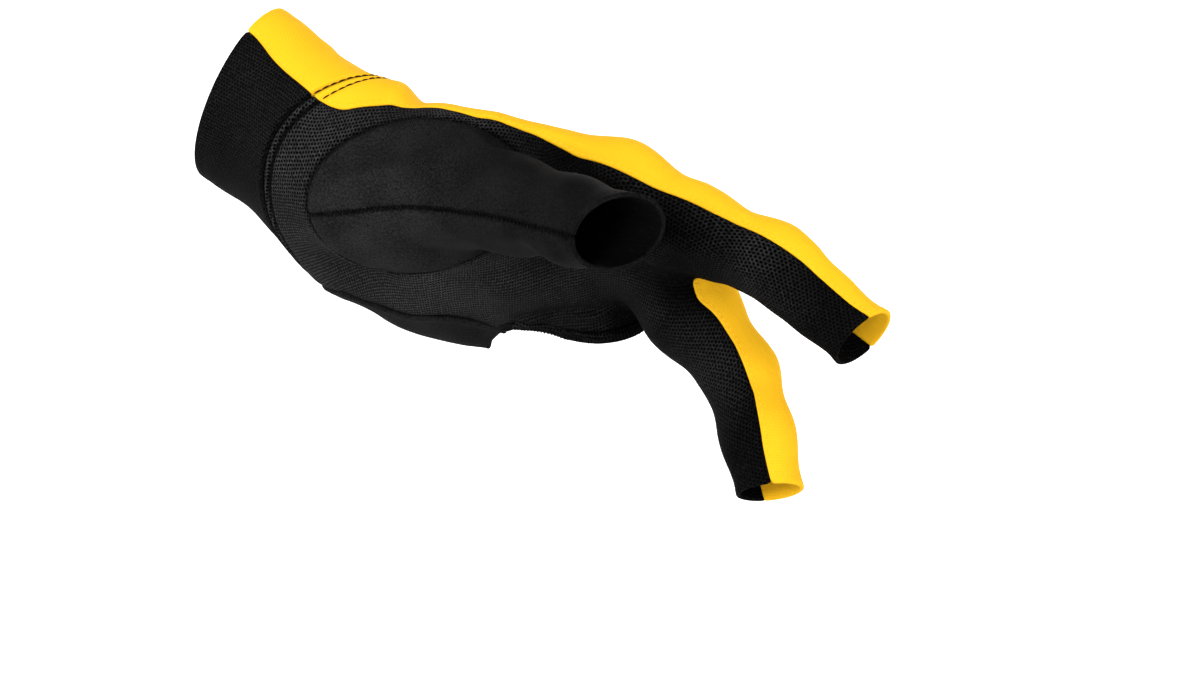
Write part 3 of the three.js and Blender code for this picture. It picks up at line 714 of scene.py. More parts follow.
def sewn_piece(panel, material, towards, slot, nodes, length_shade_and_tone=((0, 1), (1, 1))):
    """Gives a panel its wall: the outer skin, a rolled edge and an inner skin, as one closed shell.

    Towards is the way its knit runs, and the table of shade and tone says how much its colour is
    darkened, by length of the hand, as painted shade and tone."""
    flat_map = flatten(panel, towards)
    outer = panel.points
    inner = panel.base - panel.normals * panel.thickness
    side = np.zeros_like(outer)
    flat_side = np.zeros_like(flat_map)
    for loop in panel.loops:
        along = panel.base[np.roll(loop, -1)] - panel.base[np.roll(loop, 1)]
        side[loop] = unit(np.cross(unit(along), panel.normals[loop]))
        flat_along = flat_map[np.roll(loop, -1)] - flat_map[np.roll(loop, 1)]
        flat_side[loop] = unit(np.stack([flat_along[:, 1], -flat_along[:, 0]], 1))
    rim = np.concatenate(panel.loops)
    number = np.full(len(outer), -1)
    number[rim] = np.arange(len(rim))
    rings, ring_maps = [], []
    middle, half = (outer[rim] + inner[rim]) / 2, (outer[rim] - inner[rim]) / 2
    for step in range(1, RIM_STEPS):
        angle = math.pi * step / RIM_STEPS
        rings.append(middle + half * math.cos(angle) + side[rim] * (ROLL + 0.02) * math.sin(angle))
        ring_maps.append(flat_map[rim] + flat_side[rim] * ROLL * angle)
    count = len(outer)
    place = np.concatenate([outer, *rings, inner])
    laid = np.concatenate([flat_map, *ring_maps, flat_map])
    a, b = panel.edges.T
    starts = [count + k * len(rim) for k in range(RIM_STEPS)]
    shift = starts.pop()
    levels = [(a, b), *[(number[a] + k, number[b] + k) for k in starts], (a + shift, b + shift)]
    walls = []
    for (a0, b0), (a1, b1) in zip(levels, levels[1:]):
        walls += [np.stack([a0, a1, b1], 1), np.stack([a0, b1, b0], 1)]
    faces = np.concatenate([panel.faces, *walls, panel.faces[:, ::-1] + shift])
    # Painted shade: the colour darkens in seam grooves by their depth, in hollows by how little room
    # the cloth has around it, and along the hand by the given table of painted shade and tone.
    drawn_in = np.clip(-panel.height / DRAWN_FULL, 0, 1)
    felt = [form_distance(outer + panel.normals * reach) / reach for reach in SHADE_REACHES]
    shade_tone_factor = sum(np.clip(value, 0, 1) for value in felt)
    shade_tone_factor = np.clip((shade_tone_factor / len(SHADE_REACHES) - SHADE_FROM) / SHADE_SPAN, 0, 1)
    along = outer[:, 0] + BEND_SHARE * np.maximum(0, BEND_FROM - outer[:, 2])
    shade_tone_factor = shade_tone_factor * np.interp(along, *np.array(length_shade_and_tone, float).T)
    measures = {}
    for title, value in (("drawn_in", drawn_in), ("shade_tone_factor", shade_tone_factor)):
        parts = [value] + [value[rim]] * (RIM_STEPS - 1) + [np.zeros(len(inner))]
        measures[title] = np.concatenate(parts)
    return finished(panel.name, place, faces, laid, material, slot, nodes, measures)


def finished(name, place, faces, laid, material, slot, nodes, measures=()):
    mesh = bpy.data.meshes.new(name)
    mesh.from_pydata((place / 1000).tolist(), [], faces.tolist())
    if laid is not None:
        layer = mesh.uv_layers.new(name="cloth")
        layer.data.foreach_set("uv", (laid / 1000)[faces.ravel()].ravel())
    for title in measures:
        mesh.attributes.new(title, "FLOAT", "POINT").data.foreach_set("value", measures[title])
    mesh.materials.append(material)
    mesh.polygons.foreach_set("use_smooth", np.ones(len(faces), bool))
    mesh.update()
    made = bpy.data.objects.new(name, mesh)
    bpy.context.collection.objects.link(made)
    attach(made, "root")
    if nodes:
        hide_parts(*nodes)
    return made


class Nodes:
    """Short words for wiring a cloth's material."""

    def __init__(self, name):
        self.material = bpy.data.materials.new(name)
        self.material.use_nodes = True
        self.tree = self.material.node_tree
        self.shader = self.tree.nodes["Principled BSDF"]

    def add(self, kind, inputs=(), **settings):
        node = self.tree.nodes.new(kind)
        for key, value in settings.items():
            setattr(node, key, value)
        for key, value in dict(inputs).items():
            if isinstance(value, bpy.types.NodeSocket):
                self.tree.links.new(value, node.inputs[key])
            else:
                node.inputs[key].default_value = value
        return node

    def math(self, operation, a, b=0.0):
        return self.add("ShaderNodeMath", {0: a, 1: b}, operation=operation).outputs[0]

    def times(self, a, b):
        return self.math("MULTIPLY", a, b)

    def plus(self, a, b):
        return self.math("ADD", a, b)

    def noise(self, vector, scale, detail=2.0, rough=0.5):
        settings = {"Vector": vector, "Scale": scale, "Detail": detail, "Roughness": rough}
        return self.add("ShaderNodeTexNoise", settings)

    def step(self, value, low, high, to_low=0.0, to_high=1.0):
        ranges = {"Value": value, "From Min": low, "From Max": high}
        ranges |= {"To Min": to_low, "To Max": to_high}
        return self.add("ShaderNodeMapRange", ranges).outputs[0]

    def measure(self, title):
        node = self.add("ShaderNodeAttribute", attribute_name=title, attribute_type="GEOMETRY")
        return node.outputs["Fac"]

    def mixed(self, share, a, b):
        node = self.add("ShaderNodeMix", {0: share, 6: a, 7: b}, data_type="RGBA")
        return node.outputs[2]

    def drawn(self, colour, share, shade_floor):
        """Paints shade into a colour: darker in seam grooves, where a seam draws the cloth in, and
        darker in hollows and along the hand, by the painted shade and tone measure.
        """
        left = self.math("SUBTRACT", 1.0, self.times(self.measure("drawn_in"), share))
        left = self.times(left, self.step(self.measure("shade_tone_factor"), 0.0, 1.0, shade_floor, 1.0))
        return self.add("ShaderNodeVectorMath", {0: colour, 3: left}, operation="SCALE").outputs[0]

    def bump(self, height, distance, strength):
        settings = {"Height": height, "Distance": distance, "Strength": strength}
        return self.add("ShaderNodeBump", settings).outputs[0]

    def set(self, **sockets):
        for key, value in sockets.items():
            name = key.replace("_", " ")
            if isinstance(value, bpy.types.NodeSocket):
                self.tree.links.new(value, self.shader.inputs[name])
            else:
                self.shader.inputs[name].default_value = value
        return self.material


def rgb(r, g, b):
    return (r, g, b, 1.0)


# Metres between the holes of a row, between rows, and how far the rows wander
MESH_HOLE_PITCH, MESH_ROW_PITCH, MESH_DRIFT = 0.00088, 0.00097, 0.0005


def mesh_knit(name):
    """Open warp-knit mesh: dark holes set like the five of a die, with round threads between."""
    cloth = Nodes(name)
    uv = cloth.add("ShaderNodeUVMap", uv_map="cloth").outputs[0]
    wander = cloth.noise(uv, 260.0, 2.0).outputs[1]
    centred = {0: wander, 1: (0.5, 0.5, 0.5)}
    drift = cloth.add("ShaderNodeVectorMath", centred, operation="SUBTRACT").outputs[0]
    drift = cloth.add("ShaderNodeVectorMath", {0: drift, 3: MESH_DRIFT}, operation="SCALE").outputs[0]
    laid = cloth.add("ShaderNodeVectorMath", {0: uv, 1: drift}, operation="ADD").outputs[0]
    parts = cloth.add("ShaderNodeSeparateXYZ", {0: laid})
    u = cloth.times(parts.outputs[0], 2 * math.pi / MESH_HOLE_PITCH)
    v = cloth.times(parts.outputs[1], math.pi / MESH_ROW_PITCH)
    lattice = cloth.times(cloth.math("COSINE", u), cloth.math("COSINE", v))
    rows = cloth.math("COSINE", cloth.times(v, 2.0))
    lattice = cloth.plus(cloth.times(lattice, 0.72), cloth.times(rows, 0.4))
    hole = cloth.step(lattice, -0.05, 0.55)
    crown = cloth.step(lattice, 0.35, -0.75)
    grain = cloth.noise(laid, 5200.0, 3.0, 0.7).outputs[0]
    loops = cloth.step(cloth.noise(laid, 1300.0, 1.0).outputs[0], 0.32, 0.68, 0.35, 1.3)
    patch = cloth.step(cloth.noise(uv, 55.0, 3.0).outputs[0], 0.3, 0.7, 0.55, 0.95)
    # Painted highlight: the crown of each thread is lighter in colour, varied at random from loop to
    # loop and patch to patch.
    crown_highlight_and_tone = cloth.times(cloth.times(crown, loops), patch)
    thread = cloth.mixed(crown_highlight_and_tone, rgb(0.001, 0.001, 0.001), rgb(0.052, 0.052, 0.053))
    colour = cloth.mixed(hole, thread, rgb(0.0002, 0.0002, 0.0002))
    # Painted shade in seam grooves and hollows.
    colour = cloth.drawn(colour, 0.97, 0.1)
    height = cloth.math("SUBTRACT", cloth.times(grain, 0.25), hole)
    normal = cloth.bump(height, 0.00022, 0.8)
    rough = cloth.step(grain, 0.2, 0.8, 0.6, 0.85)
    return cloth.set(
        Base_Color=colour, Roughness=rough, Normal=normal, Specular_IOR_Level=0.01,
        Sheen_Weight=0.002, Sheen_Roughness=0.3, Sheen_Tint=rgb(0.8, 0.8, 0.85),
    )


def smooth_knit(name, low, high, pitch, sheen, drawn=0.95, shade_floor=0.15, contrast=1.0):
    """Smooth stretch knit: a fine slanting twill, a soft nap and slightly uneven colour."""
    cloth = Nodes(name)
    uv = cloth.add("ShaderNodeUVMap", uv_map="cloth").outputs[0]
    parts = cloth.add("ShaderNodeSeparateXYZ", {0: uv})
    across = cloth.plus(parts.outputs[0], parts.outputs[1])
    rib = cloth.math("SINE", cloth.times(across, 2 * math.pi / pitch))
    fine = cloth.noise(uv, 3600.0, 2.0, 0.6).outputs[0]
    nap = cloth.noise(uv, 1500.0, 3.0, 0.75).outputs[0]
    patch = cloth.noise(uv, 70.0, 4.0).outputs[0]
    tone = cloth.times(cloth.step(nap, 0.3, 0.7), 0.8 * contrast)
    tone = cloth.plus(tone, cloth.times(cloth.step(patch, 0.3, 0.7), 0.3))
    tone = cloth.plus(tone, cloth.times(cloth.step(fine, 0.3, 0.7), 0.2 * contrast))
    tone = cloth.plus(tone, cloth.times(rib, 0.1 * contrast))
    colour = cloth.mixed(cloth.step(tone, 0.3, 0.95), rgb(*low), rgb(*high))
    # Painted shade in seam grooves and hollows.
    colour = cloth.drawn(colour, drawn, shade_floor)
    height = cloth.plus(cloth.times(rib, 0.35), cloth.plus(nap, fine))
    normal = cloth.bump(height, 0.00009, 0.8)
    rough = cloth.step(nap, 0.2, 0.8, 0.7, 0.85)
    return cloth.set(
        Base_Color=colour, Roughness=rough, Normal=normal, Specular_IOR_Level=0.015,
        Sheen_Weight=sheen, Sheen_Roughness=0.12, Sheen_Tint=rgb(1, 1, 1),
    )


black_mesh = mesh_knit("black_mesh_knit")
YELLOW_DEEP, YELLOW_PALE = (0.72, 0.385, 0.011), (0.80, 0.445, 0.015)
# The yellow takes only a little painted shade in grooves and hollows.
yellow_knit = smooth_knit(
    "yellow_smooth_knit", YELLOW_DEEP, YELLOW_PALE, 0.0006, 0.01, drawn=0.3, shade_floor=0.92, contrast=0.4
)


def cuff_relief(panel):
    """Drawn in at the seam to the hand and at the sides, and thicker where the free edge is turned."""
    kinds = ("cuff", "wrist_end", "back")
    seam, edge, sides = (panel.to_border(panel.base, (kind,))[0] for kind in kinds)
    height = -0.75 * dip(seam, 0, 0.8) + 0.15 * dip(seam, 1.7, 0.8)
    height += 0.12 * np.clip((3.2 - edge) / 0.5, 0, 1)
    topstitched = 0.1 * dip(sides, 1.1, 0.35) if "back" in panel.name else 0
    return height - 0.15 * dip(sides, 0, 0.6) - topstitched


ALONG_ARM = (0.831, -0.227, -0.508)
cuff_front = Panel("cuff_front_knit", cuff_front_faces, ("wrist_end", "back", "cuff"), cuff_relief)
# The cuff mesh gets painted shade and tone: its colour is kept to a fifth to a third.
sewn_piece(cuff_front, black_mesh, (1, 0, 0), "black_mesh", ["cuff_front"], ((-10, 0.2), (20, 0.3)))
cuff_back = Panel("cuff_back_knit", cuff_back_faces, ("wrist_end", "back", "cuff"), cuff_relief)
sewn_piece(cuff_back, yellow_knit, ALONG_ARM, "yellow_knit", ["cuff_back"])


# The palm panel. Black mesh knit in one piece from the cuff over the palm and the inner side of the
# index and middle fingers, cut out round the ball of the thumb and gathered a little into that seam.

def puckered(run, pitch, seed):
    """Uneven little gathers along a seam."""
    wave = np.sin(2 * math.pi * run / pitch + 1.3 * np.sin(run / (1.7 * pitch) + seed))
    return wave * (0.6 + 0.4 * np.sin(run / (3.1 * pitch) + 2 * seed))


def is_kind(panel, *kinds):
    return np.isin(panel.kind, [LINE_NAMES.index(kind) for kind in kinds])


def end_relief(panel):
    """The turned hem at an open end: a slightly thicker band with its stitching drawn in."""
    band = 0.08 * np.clip((2.3 - panel.away) / 0.4, 0, 1) - 0.05 * dip(panel.away, 2.5, 0.35)
    return is_kind(panel, "thumb_end", "index_end", "middle_end") * band


def palm_relief(panel):
    """Two grooves at the cuff, gathers round the thumb, and a crease under the strip and the hem."""
    seam, _ = panel.to_border(panel.base, ("cuff",))
    height = -0.6 * dip(seam, 0, 0.6) + 0.3 * dip(seam, 1.35, 0.6) - 0.85 * dip(seam, 2.7, 0.6)
    d = panel.away
    gathers = 0.1 * puckered(panel.run, 2.4, 1) * dip(d, 0.9, 1.2)
    height += is_kind(panel, "thumb") * (-0.4 * dip(d, 0, 0.9) + gathers)
    joint = 1 - 0.9 * dip(panel.base[:, 0], HEM_START, 4)
    height += is_kind(panel, "strip") * (-0.7 * joint * dip(d, 0, 1.5))
    height += is_kind(panel, "hem") * (-0.6 * joint * dip(d, 0, 0.8))
    height += is_kind(panel, "back") * (-0.2 * dip(d, 0, 0.7))
    return height + end_relief(panel)


ALONG_PALM_ROWS = (0.9, 0, 0.42)
palm_lines = ("back", "cuff", "thumb", "strip", "hem", "opening", "index_end", "middle_end")
palm = Panel("palm_mesh_panel", palm_faces, palm_lines, palm_relief)
# Painted shade and tone by the distance along the hand: darker from about 86 mm on, darkest at the
# index base, where the thumb's shadow is painted, and at the finger ends
PALM_SHADE_AND_TONE = (
    (10, 0.8), (22, 0.95), (58, 1), (86, 0.45), (106, 0.5), (118, 0.15), (138, 0.5), (157, 0.05)
)
sewn_piece(palm, black_mesh, ALONG_PALM_ROWS, "black_mesh", ["palm_panel"], PALM_SHADE_AND_TONE)


# The back panel. Smooth yellow stretch knit from the cuff over the back of the hand and of the two
# fingers, laid over the edge of the palm panel and topstitched just inside its border.

def back_relief(panel):
    """Two faint grooves at the cuff, and a raised edge with the topstitching drawn in beside it."""
    seam, _ = panel.to_border(panel.base, ("cuff",))
    height = -0.3 * dip(seam, 0, 0.6) + 0.2 * dip(seam, 1.35, 0.6) - 0.3 * dip(seam, 2.7, 0.5)
    d = panel.away
    gathers = 0.03 * puckered(panel.run, 2.2, 3) * dip(d, 1.5, 1.5)
    height += is_kind(panel, "back") * (0.12 * dip(d, 0.4, 0.6) - 0.13 * dip(d, 1.15, 0.3) + gathers)
    height += is_kind(panel, "strip", "hem") * (-0.4 * dip(d, 0, 1.0))
    return height + end_relief(panel)


back_lines = ("back", "cuff", "strip", "hem", "opening", "index_end", "middle_end")
back = Panel("back_yellow_panel", back_faces, back_lines, back_relief)
sewn_piece(back, yellow_knit, (0.85, -0.25, -0.45), "yellow_knit", ["back_panel"])


# The thumb piece. Two halves of smooth black stretch knit: an oval over the ball of the thumb that
# runs on into the thumb itself, joined along its middle by an overlocked seam.

OVERLOCK_PITCH = 1.25
BLACK_DEEP, BLACK_PALE = (0.0008, 0.0008, 0.0008), (0.0165, 0.0165, 0.017)
black_smooth = smooth_knit("black_smooth_knit", BLACK_DEEP, BLACK_PALE, 0.0007, 0.005)


def thumb_relief(panel):
    """Drawn in and gathered round the oval, and ridged by the overlock on the middle seam."""
    d = panel.away
    gathers = 0.05 * puckered(panel.run, 1.9, 2) * dip(d, 0.9, 1.0)
    height = is_kind(panel, "thumb") * (-0.4 * dip(d, 0, 1.0) + 0.12 * dip(d, 2.2, 1.4) + gathers)
    ticks = 0.5 + 0.5 * np.cos(2 * math.pi * panel.run / OVERLOCK_PITCH)
    ridges = -0.25 * dip(d, 0, 0.45) - 0.42 * ticks * dip(d, 0.5, 0.5) + 0.12 * dip(d, 1.7, 0.7)
    height += is_kind(panel, "thumb_middle") * ridges
    return height + end_relief(panel)


thumb_lines = ("thumb", "thumb_middle", "thumb_end")
thumb_upper = Panel("thumb_upper_half", thumb_upper_faces, thumb_lines, thumb_relief)
# Painted shade and tone along the thumb: darker towards its end.
ALONG_THUMB, THUMB_SHADE_AND_TONE = (0.8, -0.55, -0.2), ((42, 1), (66, 0.55), (92, 0.3))
sewn_piece(thumb_upper, black_smooth, ALONG_THUMB, "black_smooth", ["thumb_upper"], THUMB_SHADE_AND_TONE)
thumb_lower = Panel("thumb_lower_half", thumb_lower_faces, thumb_lines, thumb_relief)
sewn_piece(thumb_lower, black_smooth, ALONG_THUMB, "black_smooth", ["thumb_lower"], THUMB_SHADE_AND_TONE)


# The edge strip. A folded band of smooth black knit along the little-finger edge of the hand. Its
# upper edge stands proud over the palm panel, and it is caught in the cuff seam at its end.

def strip_relief(panel):
    """A proud upper edge, slightly gathered all round."""
    lip = is_kind(panel, "strip") * (0.3 * dip(panel.away, 0.5, 1.3))
    return lip + 0.05 * puckered(panel.run, 3.1, 5) * dip(panel.away, 0.6, 1.2)


strip = Panel("edge_strip_band", strip_faces, ("strip", "hem", "cuff", "opening"), strip_relief)
# Painted shade and tone along the strip: darker towards the fingers.
STRIP_SHADE_AND_TONE = ((22, 0.9), (70, 0.7))
sewn_piece(strip, black_smooth, (0.85, -0.1, -0.2), "black_smooth", ["edge_strip"], STRIP_SHADE_AND_TONE)


# The hem of the side opening, where the ring and little fingers come out: a narrow turned band of
# the mesh, overlocked all round so that its edge is ribbed.

def hem_relief(panel):
    return 0.25 * dip(panel.away, 1.5, 0.9)


hem = Panel("side_opening_hem_band", hem_faces, ("hem", "opening"), hem_relief, thickness=1.6)
# The hem gets painted shade: its colour is kept to a half, falling to under a third towards the
# fingers.
sewn_piece(hem, black_mesh, (1, 0, 0), "black_mesh", ["side_opening_hem"], ((72, 0.5), (95, 0.3)))


# The sewing. Black thread in two rows at the cuff seam, pale yellow topstitching along the yellow
# border, overlock ticks on the thumb seam and round the side opening, a short tack where the edge
# strip meets that opening, and small stitches round the thumb oval and the finger ends.

def thread_material(name, colour, light):
    """Sewing thread: two plies twisted together, with a faint gloss."""
    cloth = Nodes(name)
    place = cloth.add("ShaderNodeTexCoord").outputs["Object"]
    ply = cloth.noise(place, 3500.0, 2.0).outputs[0]
    return cloth.set(
        Base_Color=cloth.mixed(ply, rgb(*colour), rgb(*light)),
        Roughness=cloth.step(ply, 0.2, 0.8, 0.5, 0.7),
        Normal=cloth.bump(ply, 0.0001, 0.7), Specular_IOR_Level=0.02,
    )


black_thread = thread_material("black_thread", (0.0005, 0.0005, 0.0005), (0.004, 0.004, 0.004))
yellow_thread = thread_material("yellow_thread", (0.78, 0.43, 0.02), (0.86, 0.50, 0.04))
BLACK, YELLOW = (black_thread, "black_smooth"), (yellow_thread, "yellow_knit")


def chain(links):
    """Joins links between numbered spots into rows, each an array of spots in order."""
    beside = {}
    for a, b in links.tolist():
        beside.setdefault(a, []).append(b)
        beside.setdefault(b, []).append(a)
    rows, seen = [], set()
    for start in sorted(beside, key=lambda n: len(beside[n])):
        if start in seen:
            continue
        row, at = [start], start
        seen.add(start)
        while True:
            onward = [n for n in beside[at] if n not in seen]
            if not onward:
                break
            at = onward[0]
            seen.add(at)
            row.append(at)
        if at in beside and start in beside[at] and len(row) > 2:
            row.append(start)
        rows.append(np.array(row))
    return rows


def row_on(panel, value, level):
    """The lines on a panel's outer skin where value has a level, as rows of points and normals."""
    v = value - level
    above = (v > 0)[panel.faces]
    crossed = panel.faces[above.any(1) & ~above.all(1)]
    pairs = []
    for k in range(3):
        a, b = crossed[:, k], crossed[:, (k + 1) % 3]
        changes = ((v[a] > 0) != (v[b] > 0))[:, None]
        pairs.append(np.where(changes, np.sort(np.stack([a, b], 1), axis=1), -1))
    pairs = np.stack(pairs, 1)
    keep = pairs[:, :, 0] >= 0
    full = keep.sum(1) == 2
    keys, which = np.unique(pairs[full][keep[full]], axis=0, return_inverse=True)
    links = which.reshape(-1, 2)
    t = (v[keys[:, 0]] / (v[keys[:, 0]] - v[keys[:, 1]]))[:, None]
    spots = panel.points[keys[:, 0]] * (1 - t) + panel.points[keys[:, 1]] * t
    normals = unit(panel.normals[keys[:, 0]] * (1 - t) + panel.normals[keys[:, 1]] * t)
    return [(spots[row], normals[row]) for row in chain(links) if len(row) > 5]


def stepped(row, pitch, trim=0.3):
    """Evenly spaced places along a row: where, which way it runs, and which way is out."""
    spots, normals = row
    length = np.linalg.norm(np.diff(spots, axis=0), axis=1)
    run = np.concatenate([[0], np.cumsum(length)])
    count = int((run[-1] - 2 * trim) / pitch)
    if count < 1:
        return np.zeros((0, 3)), np.zeros((0, 3)), np.zeros((0, 3))
    at = trim + (run[-1] - 2 * trim) * (np.arange(count) + 0.5) / count

    def value(table, where):
        return np.stack([np.interp(where, run, table[:, k]) for k in range(3)], 1)

    along = unit(value(spots, at + pitch / 2) - value(spots, at - pitch / 2) + 1e-9)
    out = value(normals, at)
    out = unit(out - along * (out * along).sum(1)[:, None])
    return value(spots, at), along, out


def stitch_form():
    """One pull of thread: a small bean that dives into the cloth at both ends."""
    bpy.ops.object.select_all(action="DESELECT")
    lying = (0, math.pi / 2, 0)
    bpy.ops.mesh.primitive_uv_sphere_add(segments=6, ring_count=5, radius=0.5, rotation=lying)
    made = bpy.context.object
    bpy.ops.object.transform_apply(location=True, rotation=True, scale=True)
    bpy.ops.object.mode_set(mode="EDIT")
    bpy.ops.mesh.select_all(action="SELECT")
    bpy.ops.mesh.quads_convert_to_tris()
    bpy.ops.object.mode_set(mode="OBJECT")
    place = np.array([v.co for v in made.data.vertices])
    faces = np.array([p.vertices for p in made.data.polygons])
    bpy.data.objects.remove(made)
    return place, faces


STITCH_PLACE, STITCH_FACES = stitch_form()
STITCH_BOW = 2.2


def thread_row(name, rows, thread, length, width, across=False, sink=0.35, seed=1):
    """A row of stitches, each its own pull of thread along the row or across it."""
    random = np.random.default_rng(seed)
    where, along, out = (np.concatenate([row[k] for row in rows]) for k in range(3))
    side = np.cross(out, along)
    first, second = (side, -along) if across else (along, side)
    n = len(where)
    long = length * random.uniform(0.9, 1.08, n)
    tilt = random.normal(0, 0.07, n)
    first, second = first + second * tilt[:, None], second - first * tilt[:, None]
    lift = width * (0.5 - sink) * random.uniform(0.8, 1.2, n)
    where = where + out * lift[:, None]
    t = STITCH_PLACE
    bow = t[:, 2] * width - (t[:, 0] ** 2) * width * STITCH_BOW
    place = (
        where[:, None, :]
        + first[:, None, :] * (t[None, :, 0] * long[:, None])[:, :, None]
        + second[:, None, :] * (t[:, 1] * width)[None, :, None]
        + out[:, None, :] * bow[None, :, None]
    )
    faces = STITCH_FACES[None] + (np.arange(n) * len(t))[:, None, None]
    return finished(name, place.reshape(-1, 3), faces.reshape(-1, 3), None, *thread, [])


def seam_row(panel, kind, lift):
    """The seam itself as a row, from the panel's own border."""
    pick = panel.sample_kind == LINE_NAMES.index(kind)
    spots = panel.samples[pick]
    gap = np.nonzero(np.linalg.norm(np.diff(spots, axis=0), axis=1) > 1)[0] + 1
    rows = []
    for part in np.split(spots, gap):
        if len(part) > 8:
            normals = form_normals(part)
            rows.append((part + normals * lift, normals))
    return rows


def rows_at(panel, kind, level, pitch):
    """Places for stitches along a line that lies level with one part of a panel's border."""
    value = panel.to_border(panel.base, (kind,))[0]
    return [stepped(row, pitch) for row in row_on(panel, value, level)]


def at_hem_start(row, reach=2.5):
    keep = row[0][:, 0] < HEM_START + reach
    return tuple(column[keep] for column in row)


# Name, rows, thread, then the length and width of a stitch
rows = [stepped(row, 2.4) for panel in (cuff_back, cuff_front) for row in seam_row(panel, "cuff", -0.1)]
thread_row("cuff_stitches_first", rows, BLACK, 2.45, 0.46, sink=0.1)
rows = rows_at(back, "cuff", 2.7, 2.4) + rows_at(palm, "cuff", 2.7, 2.4)
thread_row("cuff_stitches_second", rows, BLACK, 2.45, 0.46, sink=0.1, seed=2)
rows = rows_at(back, "back", 1.15, 1.7) + rows_at(cuff_back, "back", 1.15, 1.7)
thread_row("yellow_topstitch", rows, YELLOW, 1.3, 0.2, seed=3)
rows = [stepped(row, OVERLOCK_PITCH) for row in seam_row(thumb_upper, "thumb_middle", -0.15)]
thread_row("thumb_seam_overlock", rows, BLACK, 2.0, 0.32, across=True, sink=0.3, seed=4)
rows = rows_at(thumb_upper, "thumb", 0.8, 1.5) + rows_at(thumb_lower, "thumb", 0.8, 1.5)
thread_row("thumb_oval_stitches", rows, BLACK, 1.15, 0.26, seed=5)
rows = rows_at(hem, "opening", 1.2, 0.95)
thread_row("side_opening_overlock", rows, BLACK, 2.2, 0.55, across=True, sink=0.2, seed=6)
rows = [at_hem_start(stepped(row, 0.5, 0.1)) for row in seam_row(hem, "hem", -0.2)]
thread_row("side_opening_tack", rows, BLACK, 2.6, 0.6, across=True, sink=0.2, seed=9)
black_ends = [(palm, "index_end"), (palm, "middle_end")]
black_ends += [(thumb_upper, "thumb_end"), (thumb_lower, "thumb_end")]
rows = [row for panel, end in black_ends for row in rows_at(panel, end, 2.5, 1.5)]
thread_row("finger_hem_stitches_black", rows, BLACK, 0.9, 0.2, seed=7)
rows = [row for end in ("index_end", "middle_end") for row in rows_at(back, end, 2.5, 1.5)]
thread_row("finger_hem_stitches_yellow", rows, YELLOW, 0.9, 0.16, seed=8)


# The studio: a white floor that curves up all round, soft lights in front on the left, above, on the
# right and behind, and the camera level with the palm, as far off as the photograph was taken.

STUDIO_X, STUDIO_Y = 0.08, -0.04
FLOOR_AT, FLOOR_RADIUS, WALL_RADIUS, WALL_HEIGHT, BEND_STEPS = -0.34, 1.9, 2.6, 2.2, 12
bpy.ops.object.select_all(action="DESELECT")
bpy.ops.mesh.primitive_circle_add(
    vertices=128, radius=FLOOR_RADIUS, fill_type="NGON", location=(STUDIO_X, STUDIO_Y, FLOOR_AT)
)
floor = bpy.context.object
floor.name = "studio_floor"
bpy.ops.object.mode_set(mode="EDIT")
bpy.ops.mesh.select_all(action="SELECT")
bend = WALL_RADIUS - FLOOR_RADIUS
last = FLOOR_RADIUS
bpy.ops.mesh.region_to_loop()
for step in range(1, BEND_STEPS + 1):
    angle = math.pi / 2 * step / BEND_STEPS
    radius = FLOOR_RADIUS + bend * math.sin(angle)
    rise = bend * (math.cos(math.pi / 2 * (step - 1) / BEND_STEPS) - math.cos(angle))
    wider = (radius / last, radius / last, 1)
    bpy.ops.mesh.extrude_region_move(TRANSFORM_OT_translate={"value": (0, 0, rise)})
    bpy.ops.transform.resize(value=wider, center_override=(STUDIO_X, STUDIO_Y, 0))
    last = radius
bpy.ops.mesh.extrude_region_move(TRANSFORM_OT_translate={"value": (0, 0, WALL_HEIGHT - bend)})
bpy.ops.mesh.select_all(action="SELECT")
bpy.ops.mesh.normals_make_consistent(inside=True)
bpy.ops.object.mode_set(mode="OBJECT")
bpy.ops.object.shade_smooth()

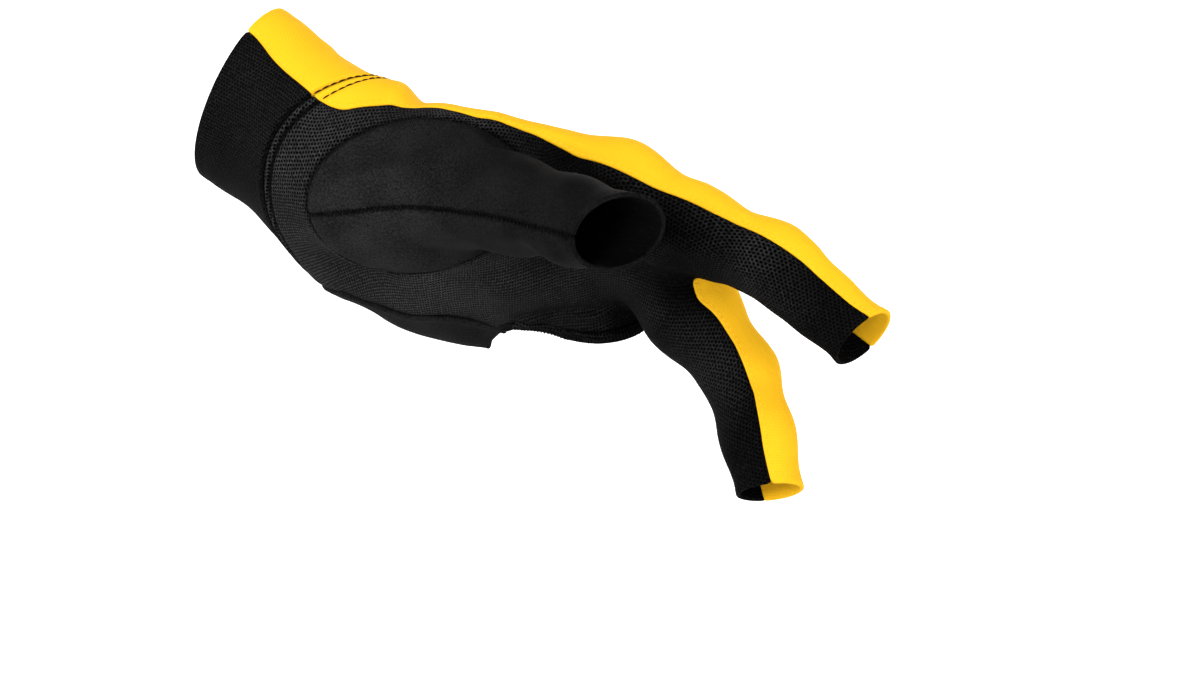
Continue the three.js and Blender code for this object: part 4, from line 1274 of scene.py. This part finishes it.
# White paper, which glows towards its far edge so that no shade shows behind the glove
GLOW, GLOW_FROM, GLOW_FULL, GLOW_TOP, GLOW_FADED = 0.65, 1.1, 1.9, 0.6, 1.1
paper = Nodes("studio_white")
place = paper.add("ShaderNodeTexCoord").outputs["Object"]
tone = paper.noise(place, 1.5, 1.0).outputs[0]
white = paper.mixed(tone, rgb(0.93, 0.93, 0.93), rgb(0.95, 0.95, 0.95))
paper.set(Base_Color=white, Roughness=0.9, Specular_IOR_Level=0.0, Emission_Color=rgb(1, 1, 1))
spread = paper.add("ShaderNodeSeparateXYZ", {0: place})
across = paper.math("SUBTRACT", spread.outputs[0], STUDIO_X)
along = paper.math("SUBTRACT", spread.outputs[1], STUDIO_Y)
radius = paper.math("SQRT", paper.plus(paper.times(across, across), paper.times(along, along)))
low_down = paper.step(spread.outputs[2], GLOW_FADED, GLOW_TOP)
glow = paper.times(paper.step(radius, GLOW_FROM, GLOW_FULL), low_down)
paper.set(Emission_Strength=paper.times(glow, GLOW))
floor.data.materials.append(paper.material)

world = bpy.data.worlds.new("studio")
bpy.context.scene.world = world
world.use_nodes = True
sky = world.node_tree.nodes["Background"]
sky.inputs["Color"].default_value = (1, 1, 1, 1)
sky.inputs["Strength"].default_value = 0.5


def soft_light(name, place, aim, size, power):
    bpy.ops.object.light_add(type="AREA", location=place)
    light = bpy.context.object
    light.name = name
    light.data.shape = "DISK"
    light.data.size = size
    light.data.energy = power
    light.rotation_euler = (Vector(aim) - Vector(place)).to_track_quat("-Z", "Y").to_euler()
    light.visible_camera = False


MIDDLE = (0.08, -0.03, -0.04)
soft_light("key_light", (-0.5, -1.3, 0.12), MIDDLE, 0.35, 15)
soft_light("top_light", (-0.35, -0.35, 1.2), MIDDLE, 0.8, 7)
soft_light("side_light", (1.25, -0.3, 0.35), MIDDLE, 0.8, 6)
soft_light("back_light", (0.3, 1.25, 0.5), MIDDLE, 0.8, 6)

CAMERA_AT, FOCAL_PIXELS, PHOTO_WIDTH, SENSOR = (0.0989, -1.0, -0.0667), 3589, 1200, 36
bpy.ops.object.camera_add(location=CAMERA_AT, rotation=(math.pi / 2, 0, 0))
camera = bpy.context.object
camera.name = "photo_camera"
camera.data.sensor_width = SENSOR
camera.data.lens = FOCAL_PIXELS * SENSOR / PHOTO_WIDTH
camera.data.clip_end = 20
bpy.context.scene.camera = camera
bpy.context.scene.view_settings.view_transform = "Standard"
bpy.context.scene.view_settings.look = "None"
